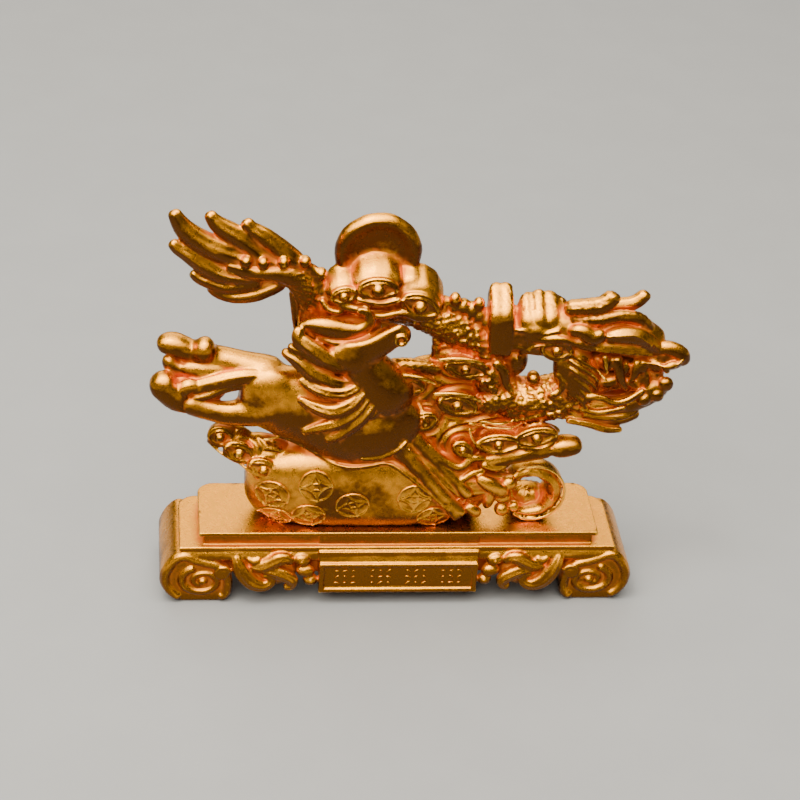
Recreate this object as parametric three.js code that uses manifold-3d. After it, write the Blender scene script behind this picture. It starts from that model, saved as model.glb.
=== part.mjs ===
// A gilded ornament: a horse gallops over a sack of coins and a dragon flies beside it among clouds, with a
// disc on its back. The group stands on a stepped plinth with volute feet and an inscribed plaque.
// Millimetres. X runs along the plinth, Y away from the viewer, Z up.
import * as THREE from "three";
import { mergeVertices } from "three/addons/utils/BufferGeometryUtils.js";
import Module from "manifold-3d";

const wasm = await Module();
wasm.setup();

// Driving sizes.
const plinthTop = 31;
const seatGap = 0.3;
const topSlab = { halfLength: 75.5, halfDepth: 16.5, thick: 1.8, corner: 6 };
const neckStep = { halfLength: 73.6, halfDepth: 14.8, thick: 4.4, corner: 5 };
const lowerSlab = { halfLength: 82.8, halfDepth: 17, thick: 1.8, corner: 7 };
const plinthBody = { halfDepth: 15, soffit: 12, bandHigh: 5, bandProud: 1.2, bandBulge: 2.6 };
const foot = { outer: 90, inner: 62.5, high: 19, halfDepth: 18.5, flatOuter: 83, flatInner: 66.7, bevel: 1.2 };
const volute = { x: -74, z: 9.4, radius: 6.4, wire: 1.3, stretch: 1.15 };
const plaque = { halfLength: 30, bottom: 6, top: 18.5, front: 20.2, frame: 1.6, recess: 0.7 };
const disc = { x: -13, y: 4, z: 139.8, radius: 15.8, thick: 4.4, rim: 2.6, recess: 1 };
const sack = { x: -12.5, y: -0.5, z: 45, halfLength: 46, halfDepth: 14.8, halfHeight: 19, fullness: 2.8 };
const coinRadius = 6.6;
const coinProud = 0.7;
const coinSunk = 1.4;
const sackMouth = { x: 50.2, y: -4.5, z: 43.9, outer: 12, inner: 8.6, halfDeep: 4.2 };
const eyeKnob = 1.8;
const endRound = 1;
const mostCap = 0.3;
const shoulder = { along: 0.4, size: 0.8 };
const overlap = 0.2;
const ample = 400;

// Joining and cutting.
function toSolid(geometry) {
  const bare = geometry.index ? geometry.toNonIndexed() : geometry.clone();
  bare.deleteAttribute("normal");
  bare.deleteAttribute("uv");
  const merged = mergeVertices(bare, 1e-4);
  const mesh = new wasm.Mesh({
    numProp: 3,
    vertProperties: merged.getAttribute("position").array,
    triVerts: new Uint32Array(merged.index.array),
  });
  return new wasm.Manifold(mesh);
}

function join(solids) {
  return solids.reduce((whole, next) => whole.add(next));
}

function toGeometry(solid) {
  const mesh = solid.getMesh();
  const geometry = new THREE.BufferGeometry();
  geometry.setAttribute("position", new THREE.BufferAttribute(mesh.vertProperties, 3));
  geometry.setIndex(new THREE.BufferAttribute(mesh.triVerts, 1));
  geometry.computeVertexNormals();
  return geometry;
}

// A round-ended form along a smooth path of stations [x, y, z, r]. Its section is an oval of half width r in
// the plane of the relief and half depth r * depth. The first and last ring round off each end.
function stroke(stations, { depth = 0.9, sides = 5, steps = 6 } = {}) {
  const path = new THREE.CatmullRomCurve3(stations.map(([x, y, z]) => new THREE.Vector3(x, y, z)));
  const girth = new THREE.CatmullRomCurve3(stations.map(([, , , r]) => new THREE.Vector3(r, 0, 0)));
  const long = path.getLength();
  const headCap = Math.min((endRound * stations[0][3]) / long, mostCap);
  const tailCap = Math.min((endRound * stations.at(-1)[3]) / long, mostCap);
  const first = headCap * shoulder.along;
  const last = 1 - tailCap * shoulder.along;
  const ringPlace = (ring) => {
    if (ring === 0 || ring === steps) return [ring / steps, 0];
    const t = first + ((last - first) * (ring - 1)) / (steps - 2);
    return [t, ring === 1 || ring === steps - 1 ? shoulder.size : 1];
  };
  const geometry = new THREE.SphereGeometry(1, sides, steps);
  const position = geometry.getAttribute("position");
  const toViewer = new THREE.Vector3(0, -1, 0);
  for (let i = 0; i < position.count; i++) {
    const polar = Math.acos(THREE.MathUtils.clamp(position.getY(i), -1, 1));
    const [t, size] = ringPlace(Math.round((steps * polar) / Math.PI));
    const across = new THREE.Vector2(position.getX(i), position.getZ(i)).normalize();
    const tangent = path.getTangentAt(THREE.MathUtils.clamp(t, 0.001, 0.999));
    const width = new THREE.Vector3().crossVectors(tangent, toViewer).normalize();
    const out = new THREE.Vector3().crossVectors(width, tangent);
    const r = girth.getPoint(path.getUtoTmapping(t)).x * size;
    const point = path.getPointAt(t);
    point.addScaledVector(width, across.x * r).addScaledVector(out, -across.y * r * depth);
    position.setXYZ(i, point.x, point.y, point.z);
  }
  return toSolid(geometry);
}

// An oval lump at [x, y, z] with half sizes [a, b, c], turned by tilt in the plane of the relief.
function lump([x, y, z], [a, b, c], tilt = 0, sides = 6, steps = 4) {
  const geometry = new THREE.SphereGeometry(1, sides, steps);
  geometry.scale(a, b, c);
  geometry.rotateY(tilt);
  geometry.translate(x, y, z);
  return toSolid(geometry);
}

// A cloud lobe: a flat lens with a round knob standing on it towards the viewer.
function cloudEye([x, y, z], halfLength, halfHeight, tilt = 0, knob = eyeKnob) {
  const lens = lump([x, y, z], [halfLength, 3, halfHeight], tilt);
  return join([lens, lump([x, y - 2.4, z], [knob, knob, knob], 0, 4, 3)]);
}

// A slab with its corners rounded in plan, from bottom to top.
function slab({ halfLength, halfDepth, corner }, bottom, top) {
  const outline = new THREE.Shape();
  outline.moveTo(-halfLength, -halfDepth);
  outline.lineTo(halfLength, -halfDepth);
  outline.lineTo(halfLength, halfDepth - corner);
  outline.quadraticCurveTo(halfLength, halfDepth, halfLength - corner, halfDepth);
  outline.lineTo(corner - halfLength, halfDepth);
  outline.quadraticCurveTo(-halfLength, halfDepth, -halfLength, halfDepth - corner);
  const geometry = new THREE.ExtrudeGeometry(outline, {
    depth: top - bottom,
    bevelEnabled: false,
    curveSegments: 3,
  });
  geometry.translate(0, 0, bottom);
  return toSolid(geometry);
}

// A shape drawn in the X-Z plane, carried through from the front to the back of the plinth.
function through(outline, halfDepth, bevel) {
  const geometry = new THREE.ExtrudeGeometry(outline, {
    depth: 2 * (halfDepth - bevel),
    bevelThickness: bevel,
    bevelSize: bevel,
    bevelOffset: -bevel,
    bevelSegments: 1,
    curveSegments: 4,
  });
  geometry.translate(0, 0, bevel - halfDepth);
  geometry.rotateX(Math.PI / 2);
  return toSolid(geometry);
}

// The other hand of a solid: reflected in the Y-Z plane, with each face turned to point outwards again.
function mirrored(solid) {
  const geometry = toGeometry(solid);
  geometry.scale(-1, 1, 1);
  const { index } = geometry;
  for (let i = 0; i < index.count; i += 3) {
    const second = index.getX(i + 1);
    index.setX(i + 1, index.getX(i + 2));
    index.setX(i + 2, second);
  }
  return toSolid(geometry);
}

// The plinth, from the top slab down.
const slabBottom = plinthTop - topSlab.thick;
const stepBottom = slabBottom - neckStep.thick;
const lowerBottom = stepBottom - lowerSlab.thick;

function voluteFoot() {
  const { outer, inner, high, flatOuter, flatInner, halfDepth, bevel } = foot;
  const outline = new THREE.Shape();
  outline.moveTo(-flatInner, 0);
  outline.bezierCurveTo(1.5 - inner, 1, 0.5 - inner, high * 0.4, -inner - 1, high * 0.65);
  outline.bezierCurveTo(-inner - 1, high, -inner - 6, high, -inner - 9, high);
  outline.lineTo(overlap - lowerSlab.halfLength, lowerBottom + overlap);
  outline.bezierCurveTo(-outer - 1, high + 1, -outer - 4, high * 0.4, -flatOuter, 0);
  const eye = lump([volute.x, -halfDepth + 0.4, volute.z], [3, 1.6, 2.8]);
  const roll = new THREE.TorusGeometry(volute.radius, volute.wire, 3, 9);
  roll.scale(volute.stretch, 1, 1);
  roll.rotateX(Math.PI / 2);
  roll.translate(volute.x, -halfDepth, volute.z);
  const smallCurl = lump([-66.6, -halfDepth, 13.4], [3.4, 1.8, 3.2]);
  return join([through(outline, halfDepth, bevel), toSolid(roll), eye, smallCurl]);
}

function apronScroll() {
  const front = -plinthBody.halfDepth - 2;
  const leaf = [
    [-61, front, 21, 1.2],
    [-59.5, front - 1, 17, 2.4],
    [-57, front - 1.4, 11.5, 3],
    [-52.5, front - 1.4, 8, 2.6],
    [-48.4, front - 1.4, 10, 1.8],
    [-50.6, front - 1.4, 12.4, 1.4],
  ];
  const crest = [
    [-55, front, 17, 2],
    [-49.5, front - 1.2, 17, 2.6],
    [-45, front - 1.4, 21, 2.6],
    [-41.5, front - 1, 20, 2],
  ];
  const wave = [
    [-50, front, 15.5, 2.4],
    [-44.5, front - 1.2, 13.5, 2.8],
    [-40.5, front - 1.2, 10, 2.6],
    [-43, front - 1.2, 8, 1.6],
  ];
  const budA = lump([-36.5, front - 0.5, 19.2], [3.4, 2.4, 2.6], 0, 6, 3);
  const budB = lump([-35.4, front - 0.8, 14.6], [3.6, 2.6, 2.4], 0, 6, 3);
  const budC = lump([-33.2, front - 0.4, 11], [2.8, 3, 2.6], 0, 6, 3);
  return join([stroke(leaf), stroke(crest, { steps: 5 }), stroke(wave, { steps: 5 }), budA, budB, budC]);
}

function plaqueBlock() {
  const { halfLength, bottom, top, front, frame, recess } = plaque;
  const profile = new THREE.Shape();
  profile.moveTo(-plinthBody.halfDepth + 2, bottom);
  profile.lineTo(-front, bottom);
  profile.lineTo(-front, top);
  profile.lineTo(-lowerSlab.halfDepth, top + 4);
  profile.lineTo(-plinthBody.halfDepth + 2, top + 4);
  const block = new THREE.ExtrudeGeometry(profile, { depth: 2 * halfLength, bevelEnabled: false });
  block.rotateX(Math.PI / 2);
  block.rotateZ(Math.PI / 2);
  block.translate(-halfLength, 0, 0);
  const panel = new THREE.BoxGeometry(2 * (halfLength - frame), 2 * recess, top - bottom - 2 * frame);
  panel.translate(0, -front, (top + bottom) / 2);
  return toSolid(block).subtract(toSolid(panel));
}

function plinthSolid() {
  const { halfDepth, soffit, bandHigh, bandProud, bandBulge } = plinthBody;
  const bandHalf = halfDepth + bandProud;
  const bandWaist = lowerBottom - bandHigh * 0.4;
  const bandBottom = lowerBottom - bandHigh;
  const band = new THREE.Shape();
  band.moveTo(-bandHalf, lowerBottom + overlap);
  band.quadraticCurveTo(-bandHalf - bandBulge, bandWaist, -bandHalf, bandBottom);
  band.lineTo(-halfDepth, soffit);
  band.lineTo(halfDepth, soffit);
  band.lineTo(bandHalf, bandBottom);
  band.quadraticCurveTo(bandHalf + bandBulge, bandWaist, bandHalf, lowerBottom + overlap);
  const beam = new THREE.ExtrudeGeometry(band, {
    depth: 2 * lowerSlab.halfLength - 2,
    bevelEnabled: false,
    curveSegments: 4,
  });
  beam.rotateX(Math.PI / 2);
  beam.rotateZ(Math.PI / 2);
  beam.translate(1 - lowerSlab.halfLength, 0, 0);
  const left = join([voluteFoot(), apronScroll()]);
  return join([
    slab(topSlab, slabBottom, plinthTop),
    slab(neckStep, stepBottom - overlap, slabBottom + overlap),
    slab(lowerSlab, lowerBottom, stepBottom),
    toSolid(beam),
    plaqueBlock(),
    left,
    mirrored(left),
  ]);
}

// The sack of coins. Its surface is |x|^n + |y|^n + |z|^n = 1 stretched to the half sizes.
function sackBody() {
  const { x, y, z, halfLength, halfDepth, halfHeight, fullness } = sack;
  const geometry = new THREE.SphereGeometry(1, 14, 7);
  const position = geometry.getAttribute("position");
  for (let i = 0; i < position.count; i++) {
    const point = new THREE.Vector3().fromBufferAttribute(position, i);
    const sum = [point.x, point.y, point.z].reduce((s, v) => s + Math.abs(v) ** fullness, 0);
    point.multiplyScalar(sum ** (-1 / fullness));
    position.setXYZ(i, point.x * halfLength, point.y * halfHeight, point.z * halfDepth);
  }
  geometry.rotateX(Math.PI / 2);
  geometry.translate(x, y, z);
  return toSolid(geometry);
}

function coin([x, z]) {
  const n = sack.fullness;
  const across = (x - sack.x) / sack.halfLength;
  const up = (z - sack.z) / sack.halfHeight;
  const out = (1 - Math.abs(across) ** n - Math.abs(up) ** n) ** (1 / n);
  const normal = new THREE.Vector3(
    (Math.sign(across) * Math.abs(across) ** (n - 1)) / sack.halfLength,
    -(out ** (n - 1)) / sack.halfDepth,
    (Math.sign(up) * Math.abs(up) ** (n - 1)) / sack.halfHeight,
  ).normalize();
  const geometry = new THREE.CylinderGeometry(coinRadius, coinRadius, 2 * coinProud + coinSunk, 8);
  const turn = new THREE.Quaternion().setFromUnitVectors(new THREE.Vector3(0, 1, 0), normal);
  geometry.applyQuaternion(turn);
  geometry.translate(x, sack.y - out * sack.halfDepth, z);
  return toSolid(geometry);
}

function sackMouthRing() {
  const { x, y, z, outer, inner, halfDeep } = sackMouth;
  const middle = (outer + inner) / 2;
  const profile = new THREE.Path();
  profile.absellipse(middle, 0, (outer - inner) / 2, halfDeep, 0, 2 * Math.PI);
  const ring = new THREE.LatheGeometry(profile.getPoints(4), 12);
  ring.translate(x, y, z);
  return toSolid(ring);
}

function sackSolids() {
  const coinPlaces = [
    [-32.5, 51],
    [-48, 45.5],
    [-34.5, 37],
    [-18.6, 42],
    [4.5, 45.5],
    [12.5, 36],
    [-47, 34.5],
  ];
  const neck = stroke([
    [22, -2, 46, 11],
    [31, -3.5, 46.5, 8.5],
    [38, -4.5, 45.5, 6],
    [43, -4.5, 45, 5],
  ]);
  return [
    sackBody(),
    neck,
    sackMouthRing(),
    lump([50, 3.4, 36.5], [10, 5.5, 6.4]),
    lump([34.4, -9, 52.6], [3.4, 3.2, 3.6], 0, 5, 4),
    lump([38.6, -8.4, 45.6], [2.8, 2.8, 2.8], 0, 5, 3),
    lump([38, -8.6, 38.8], [3.2, 3, 3.6], 0, 5, 4),
    ...coinPlaces.map(coin),
  ];
}

// The horse.
function horseSolids() {
  const trunk = [
    [-61, -2, 84, 9],
    [-54, -2.4, 83, 12],
    [-45, -2.8, 81.4, 14.4],
    [-33, -3.4, 76.6, 15],
    [-20, -4, 71.6, 17.6],
    [-8, -4, 72.6, 17],
    [4.6, -3.6, 76, 11],
  ];
  const neck = [
    [-6, -4.5, 76, 10],
    [-11, -5.5, 87, 10.6],
    [-17, -6.5, 97, 8.8],
    [-24, -7, 105, 6.4],
    [-30, -7, 111, 4],
  ];
  const head = [
    [-31, -7.5, 105, 4],
    [-22, -8, 105, 6],
    [-14.5, -8.4, 108.2, 5.6],
    [-8, -8.6, 112.8, 5],
    [-3, -8.6, 116.4, 4.4],
  ];
  const farHindLeg = [
    [-44, 0, 87, 8],
    [-55, 1, 92.3, 7],
    [-63, 1.5, 95.4, 5.6],
    [-71, 2, 97, 5.2],
    [-78, 2, 99, 4],
    [-83, 2, 102, 3.4],
  ];
  const farHoof = [
    [-78, 2, 100.6, 3.4],
    [-84.5, 2, 103, 4.2],
    [-91, 2, 103.4, 4],
  ];
  const nearHindLeg = [
    [-43, -4, 83, 8],
    [-54, -5, 79, 6],
    [-65, -5, 77, 3.6],
    [-75, -5, 79, 3.2],
    [-83, -5, 82.3, 3.2],
    [-90, -5, 88, 3.4],
  ];
  const nearHoof = [
    [-86, -5, 85, 3],
    [-90.2, -5, 89.6, 4.4],
    [-89, -5, 95.5, 4],
  ];
  const tail = [
    [-50, -3, 91.4, 3.6],
    [-60, -4, 91.6, 3.2],
    [-68, -5, 90.4, 3],
    [-75, -5, 88.2, 2.8],
    [-82, -5, 88.6, 2.6],
  ];
  const hockWeb = [
    [-86, -2, 88, 3],
    [-78, -1, 86, 5],
    [-70, 0, 84.6, 5.6],
    [-65.6, 0, 84, 4],
  ];
  const nearForeleg = [
    [-8, -6, 71, 6],
    [-1, -9.5, 63.5, 4],
    [6, -12, 56.5, 3],
    [14, -13.6, 47.5, 2.8],
    [21, -14.4, 39, 2.8],
  ];
  const farForeleg = [
    [-1, -5, 73, 5],
    [6, -8, 65, 3.4],
    [13, -9.5, 58, 2.8],
    [21, -11, 49.6, 2.6],
    [28, -11.5, 41.6, 2.6],
  ];
  const nearFrontHoof = [
    [18.6, -14, 41.4, 2.6],
    [24.6, -14.2, 34.6, 3.8],
  ];
  const reachingLeg = [
    [28, -5, 56, 4],
    [38, -7, 59.6, 3.4],
    [48, -8, 62.3, 3.2],
    [56, -8, 64.2, 3.2],
  ];
  const reachingHoof = [
    [53, -8, 63.8, 3],
    [60, -8, 65.2, 4.2],
    [66.4, -8, 66.6, 3.8],
  ];
  const limbs = [farHindLeg, nearHindLeg, tail, hockWeb, nearForeleg, farForeleg, reachingLeg];
  const hooves = [farHoof, nearHoof, nearFrontHoof, reachingHoof];
  const ear = [
    [-41.4, -4, 116, 1.4],
    [-33, -4.6, 118.4, 2.6],
    [-26, -5, 118, 2.4],
    [-19.5, -5, 119.6, 2],
  ];
  return [
    stroke(trunk, { depth: 0.6, sides: 7, steps: 7 }),
    stroke(neck, { depth: 0.7, sides: 6 }),
    stroke(head, { depth: 0.8, sides: 6 }),
    stroke(ear, { steps: 5 }),
    lump([-73.6, 1, 103.4], [3, 3, 3]),
    lump([-83, 1, 95.6], [5, 3.4, 3.6]),
    ...limbs.map((line) => stroke(line, { steps: 5 })),
    ...hooves.map((line) => stroke(line, { steps: 5 })),
    ...maneLocks().map((line) => stroke(line, { depth: 0.8, steps: 5 })),
  ];
}

// Each lock streams back from the crest of the neck: root, belly and tip.
function maneLocks() {
  return [
    [
      [-26, -7, 99, 2.8],
      [-35, -8, 103.6, 3],
      [-41.4, -7.5, 106, 2.6],
      [-44.6, -6.5, 112, 1.4],
    ],
    [
      [-22, -8, 90, 3],
      [-33, -9.5, 93, 3.2],
      [-40, -8.5, 98, 2.6],
      [-47, -6, 104.4, 1.4],
    ],
    [
      [-20, -9, 92, 2.8],
      [-25, -11.5, 87, 3],
      [-32, -12, 84, 2.6],
      [-40, -11, 86.6, 1.4],
    ],
    [
      [-19.4, -9, 89.6, 2.8],
      [-25, -12, 82, 2.6],
      [-31, -12.4, 78, 2.2],
      [-38.6, -11.6, 73.4, 1.2],
    ],
    [
      [-17, -9.5, 87.5, 2.2],
      [-20.5, -12.4, 81, 2.4],
      [-24, -12.8, 76.5, 2],
      [-29.6, -12.6, 71.2, 1.1],
    ],
  ];
}

// The dragon's flame tail: six locks fan back from the scaly stem.
function dragonTailSolids() {
  const locks = [
    [
      [-50, 1, 137, 3],
      [-65.5, 1, 143.8, 3.4],
      [-75, 1, 148.5, 2.9],
      [-82, 1, 152.4, 2.4],
      [-86.2, 1, 159, 1.9],
    ],
    [
      [-46, 1, 138, 3],
      [-57, 1, 143, 3],
      [-67, 1, 151.2, 2.6],
      [-74, 1, 158, 2.2],
    ],
    [
      [-41, 1, 137, 2.8],
      [-47.5, 1, 144.6, 3],
      [-54.5, 1, 150, 2.6],
      [-61.6, 1, 155.8, 2],
    ],
    [
      [-50, 0, 134, 2.6],
      [-64, 0, 134.6, 2.8],
      [-73, 0, 137.6, 2.4],
      [-79, 0, 142, 2.1],
      [-86, 0, 145.6, 1.8],
    ],
    [
      [-52, 0, 132, 2.4],
      [-64, 0, 130, 2.4],
      [-71.6, 0, 131, 2.2],
      [-78.4, 0, 134.4, 1.9],
    ],
    [
      [-44, 0.5, 132, 2.2],
      [-54, 0, 126.6, 2.6],
      [-64, 0, 125, 2.3],
      [-73, 0, 126.6, 1.9],
    ],
  ];
  const web = lump([-60, 1.4, 138], [16, 2.2, 9], 0.5);
  const stem = [
    [-67.4, 1, 137.4, 2],
    [-58, 1, 134.8, 2.9],
    [-49, 1.5, 133.8, 4.2],
    [-41, 2, 130.4, 6],
    [-36.8, 2.5, 121.5, 6],
    [-36, 3, 112, 5.4],
    [-33, 3, 102, 5.6],
    [-24, 2, 96, 6],
  ];
  const ridge = [
    [-44, 1, 137.6, 1.8],
    [-36.6, 1.5, 134.6, 2.4],
    [-32.4, 2, 126, 2.6],
    [-30.6, 2, 114, 2.6],
  ];
  const spines = [
    [-60.4, 0, 139.4],
    [-54.4, 0, 139],
    [-47.6, 0, 139],
    [-39.8, 1, 139],
    [-33.6, 1.5, 133.6],
  ];
  return [
    web,
    stroke(stem, { sides: 6, steps: 8 }),
    stroke(ridge, { steps: 5 }),
    ...locks.map((line) => stroke(line, { steps: line.length + 1 })),
    ...spines.map((place) => lump(place, [1.9, 2, 2.2], 0, 4, 3)),
  ];
}

// The disc, with a raised rim round a shallow face.
function discSolid() {
  const { x, y, z, radius, thick, rim, recess } = disc;
  const half = thick / 2;
  const profile = [
    [0, -half + recess],
    [radius - rim, -half + recess],
    [radius - rim + 1, -half],
    [radius, -half],
    [radius, half],
    [0, half],
  ].map(([r, h]) => new THREE.Vector2(r, h));
  const geometry = new THREE.LatheGeometry(profile, 16);
  geometry.translate(x, y, z);
  return toSolid(geometry);
}

function cloudSolids() {
  const capMass = lump([-12, 1.6, 125], [23, 7, 10], 0, 7, 4);
  const capTop = [
    [-32, -1, 131.4, 3],
    [-24, -2, 131.6, 4.2],
    [-14, -2.4, 134, 4],
    [-4, -2, 132.8, 4],
    [4, -1.4, 131.4, 4.8],
    [9.4, -1, 126, 3.6],
  ];
  const capCurl = [
    [-30, -2.6, 128, 2.4],
    [-22, -4.4, 122.6, 2.8],
    [-14, -4.4, 121, 3],
    [-4, -4.4, 122, 2.8],
    [4, -3.6, 118.6, 2.4],
  ];
  const middleMass = lump([11, 1.6, 83], [19, 7, 16], 0, 7, 4);
  const lowMass = lump([16, 1, 61], [21, 8, 17], 0.4, 7, 4);
  const throatMass = lump([27, 1.6, 73], [13, 5.6, 9]);
  const shoulderMass = lump([18, 2, 101], [9, 5, 6]);
  const hollowWall = lump([-20, 4, 109.6], [15, 4, 8]);
  const roughTop = [
    [-9, -2, 96, 2.6],
    [-2, -3.4, 97.4, 3],
    [6, -3.4, 96.4, 3],
    [13, -2, 94.6, 2.8],
  ];
  const belowRump = [
    [-71, -1, 66, 4],
    [-63, -1.5, 64.4, 6.5],
    [-53, -2, 60, 8.5],
    [-40, -2, 58, 9],
  ];
  const strut = [
    [10.4, 0.5, 112, 2],
    [10.4, 0.5, 94, 2.2],
  ];
  const swirl = [
    [8, -6, 66, 2.2],
    [15, -9, 59, 2.4],
    [22, -9, 58, 2.2],
    [25, -8, 64, 2],
    [31, -7.6, 68, 1.8],
  ];
  return [
    capMass,
    middleMass,
    lowMass,
    throatMass,
    shoulderMass,
    hollowWall,
    stroke(capTop),
    stroke(capCurl, { steps: 5 }),
    stroke(roughTop, { steps: 5 }),
    stroke(belowRump, { sides: 6, steps: 5 }),
    stroke(strut, { sides: 4, steps: 3 }),
    stroke(swirl, { steps: 5 }),
    cloudEye([-25.4, -4.6, 127.2], 5, 3.2, -0.3),
    cloudEye([-13.4, -5.2, 131], 7, 3.6, 0, 2.2),
    cloudEye([1.8, -4.6, 123.6], 7.4, 4, 0.35, 2),
    cloudEye([-0.2, -6, 90.4], 6, 4.2, 0.2),
    cloudEye([20.6, -5, 97.6], 9, 3.6, 0.25),
    cloudEye([18.6, -6.5, 82.4], 8.4, 4.2, 0.3),
    cloudEye([7, -7, 75.4], 5, 4, -0.4, 1.6),
    cloudEye([35, -9, 65.8], 9.8, 5.2, -0.1, 1.7),
    cloudEye([49, -9, 69], 9, 4.4, -0.2, 2),
    cloudEye([-68.2, -3.4, 66.4], 4.6, 4.6, 0, 1.8),
    cloudEye([-61, -5.6, 60.6], 7, 4.2, 0.5, 1.9),
    cloudEye([-51.6, -7.6, 54.4], 7.4, 4.2, 0.5, 1.9),
  ];
}

// The dragon's body passes behind the horse's head, dips under the opening and turns up into the cheek.
function dragonBodySolids() {
  const body = [
    [-34, 4, 106, 5],
    [-24, 4.5, 114, 6],
    [-14, 4, 118.4, 6.4],
    [-4, 3, 118.6, 6.6],
    [6, 2, 115.6, 6.8],
    [16, 1.5, 111, 7.2],
    [25, 1, 104.4, 7],
    [31.6, 1, 95, 6.6],
    [34.4, 1, 86, 7.6],
    [41, 0.5, 80.6, 9],
    [50, 0, 80.4, 9],
    [59, 0, 83.4, 8.6],
    [65, 0, 90, 7],
  ];
  const backFin = [
    [8, 1, 122, 2.2],
    [16, 1, 120.4, 3.2],
    [24, 1, 117, 3.6],
    [30.6, 0, 111.6, 3.6],
    [36.4, 0, 105, 2.8],
  ];
  const spines = [
    [15.6, 0, 123.6],
    [24.4, 0, 121.6],
    [30.4, -4.6, 77.6],
    [37, -6, 77],
    [43.6, -6.4, 77],
  ];
  return [
    stroke(body, { depth: 0.85, sides: 6, steps: 12 }),
    stroke(backFin),
    ...spines.map((place) => lump(place, [2.2, 2.4, 2.6], 0, 4, 3)),
  ];
}

function dragonHeadSolids() {
  const skull = [
    [32, 0, 107, 6],
    [44, 0, 110.4, 8],
    [55, 0, 111.4, 9],
    [66, 0, 110.4, 8],
    [77, 0, 110.6, 7],
    [86, 0, 109, 6.2],
    [94, -0.5, 104.4, 4.6],
  ];
  const crestLobe = [
    [37, 1, 110, 3],
    [34, 1, 119, 4.4],
    [32.6, 1, 126, 4.6],
    [32.2, 1, 132.2, 3.8],
  ];
  const browRidges = [41.5, 48.4, 55].map((x, i) => [
    [x + 1.6, 0, 113, 4.4],
    [x + 0.8, 0, 121 - i * 0.6, 4.8],
    [x, 0, 128.4 - i * 0.8, 4.2],
  ]);
  const nearHorn = [
    [55, -3, 122.6, 2.8],
    [63, -3.4, 122.4, 3.2],
    [69.6, -3.4, 123.6, 2.7],
    [74, -3.4, 129.2, 2],
  ];
  const farHorn = [
    [66, 3, 117.4, 3],
    [76, 3.4, 119.4, 2.8],
    [82, 3.4, 120.4, 2.4],
    [86.4, 3.4, 124.6, 2.2],
  ];
  const noseRidge = [
    [57, -4, 117.6, 2.4],
    [67, -5, 117.8, 2.8],
    [76, -4, 119, 2.4],
    [84, -2, 116.4, 2.6],
    [90, -1, 108, 2.2],
  ];
  const upperLip = [
    [56, -6, 112, 3],
    [65, -7, 111, 3.6],
    [74, -6, 108.6, 3],
    [83, -5, 107.8, 2.8],
    [91.6, -3, 105.2, 2.2],
  ];
  const noseCurl = [
    [90, -1.5, 103.4, 3.6],
    [96, -2, 104.4, 4],
    [101.4, -2, 101.6, 4.2],
    [100.6, -3, 96, 3.4],
    [95.4, -4, 95.6, 2.4],
  ];
  const jawHinge = lump([39.5, 0, 98], [5.4, 5, 7]);
  const cheek = [
    [58, -2, 106, 5],
    [62.6, -3, 98, 6.6],
    [63, -3, 89, 7],
    [66, -2, 82, 5],
  ];
  const throatWall = lump([77, 2, 94], [15, 3.6, 13]);
  const lowerJaw = [
    [60, -2, 82, 5],
    [70, -3.4, 80.4, 4],
    [80, -4, 79.6, 3.6],
    [89, -4, 83, 3.6],
    [97.4, -3.6, 90, 3],
  ];
  const lip = [
    [64, -6, 82, 1.8],
    [70, -7.4, 86.4, 2],
    [78, -7.4, 84.6, 2],
    [84, -6.6, 87, 1.6],
  ];
  const beard = [
    [54, -2, 75.4, 3],
    [64, -3, 75.4, 3.6],
    [74, -3.4, 73.4, 3.6],
    [81, -3.4, 72.6, 3.2],
    [88, -3.4, 77, 2.4],
  ];
  const fangs = [
    [
      [77, -5, 103, 2.4],
      [78.6, -6.4, 94, 2],
      [80.4, -6.4, 85, 1.2],
    ],
    [
      [84, -4, 99, 2],
      [85, -5.4, 91, 1.7],
      [85.6, -5.4, 84, 1],
    ],
  ];
  const eyeBrow = [
    [35.6, -3, 109, 1.8],
    [46, -6.4, 109.2, 2.4],
    [60.6, -7.4, 108.6, 2],
  ];
  const forms = [crestLobe, ...browRidges, nearHorn, farHorn, noseRidge, upperLip, cheek];
  forms.push(lowerJaw, lip, beard, ...fangs, eyeBrow);
  return [
    stroke(skull, { depth: 0.85, sides: 6, steps: 7 }),
    throatWall,
    jawHinge,
    lump([53.4, -6.4, 104.6], [5.8, 2.6, 3.4]),
    stroke(noseCurl, { steps: 8 }),
    ...forms.map((line) => stroke(line, { steps: line.length + 1 })),
  ];
}

function figureSolid() {
  const whole = join([
    ...sackSolids(),
    ...horseSolids(),
    ...dragonTailSolids(),
    discSolid(),
    ...cloudSolids(),
    ...dragonBodySolids(),
    ...dragonHeadSolids(),
  ]);
  const seat = plinthTop + seatGap;
  const below = new THREE.BoxGeometry(ample, ample, ample);
  below.translate(0, 0, seat - ample / 2);
  return whole.subtract(toSolid(below));
}

// The materials and the scene graph.
const gilt = { color: 0xd69a2a, roughness: 0.34, metalness: 0.9 };
const giltShade = { color: 0xb9761f, roughness: 0.3, metalness: 0.9 };

const plinthMesh = new THREE.Mesh(toGeometry(plinthSolid()), new THREE.MeshStandardMaterial(gilt));
plinthMesh.name = "plinth";
const figureMesh = new THREE.Mesh(toGeometry(figureSolid()), new THREE.MeshStandardMaterial(giltShade));
figureMesh.name = "dragon_and_horse";

// The origin is under the middle of the whole, on the surface it stands on.
const ornament = new THREE.Group();
ornament.add(plinthMesh, figureMesh);
const box = new THREE.Box3().setFromObject(ornament);
const centre = box.getCenter(new THREE.Vector3());
ornament.position.set(-centre.x, -centre.y, -box.min.z);

export default ornament;
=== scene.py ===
import math

import bpy
import numpy as np
from mathutils import Matrix, Vector
from mathutils.bvhtree import BVHTree


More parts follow.
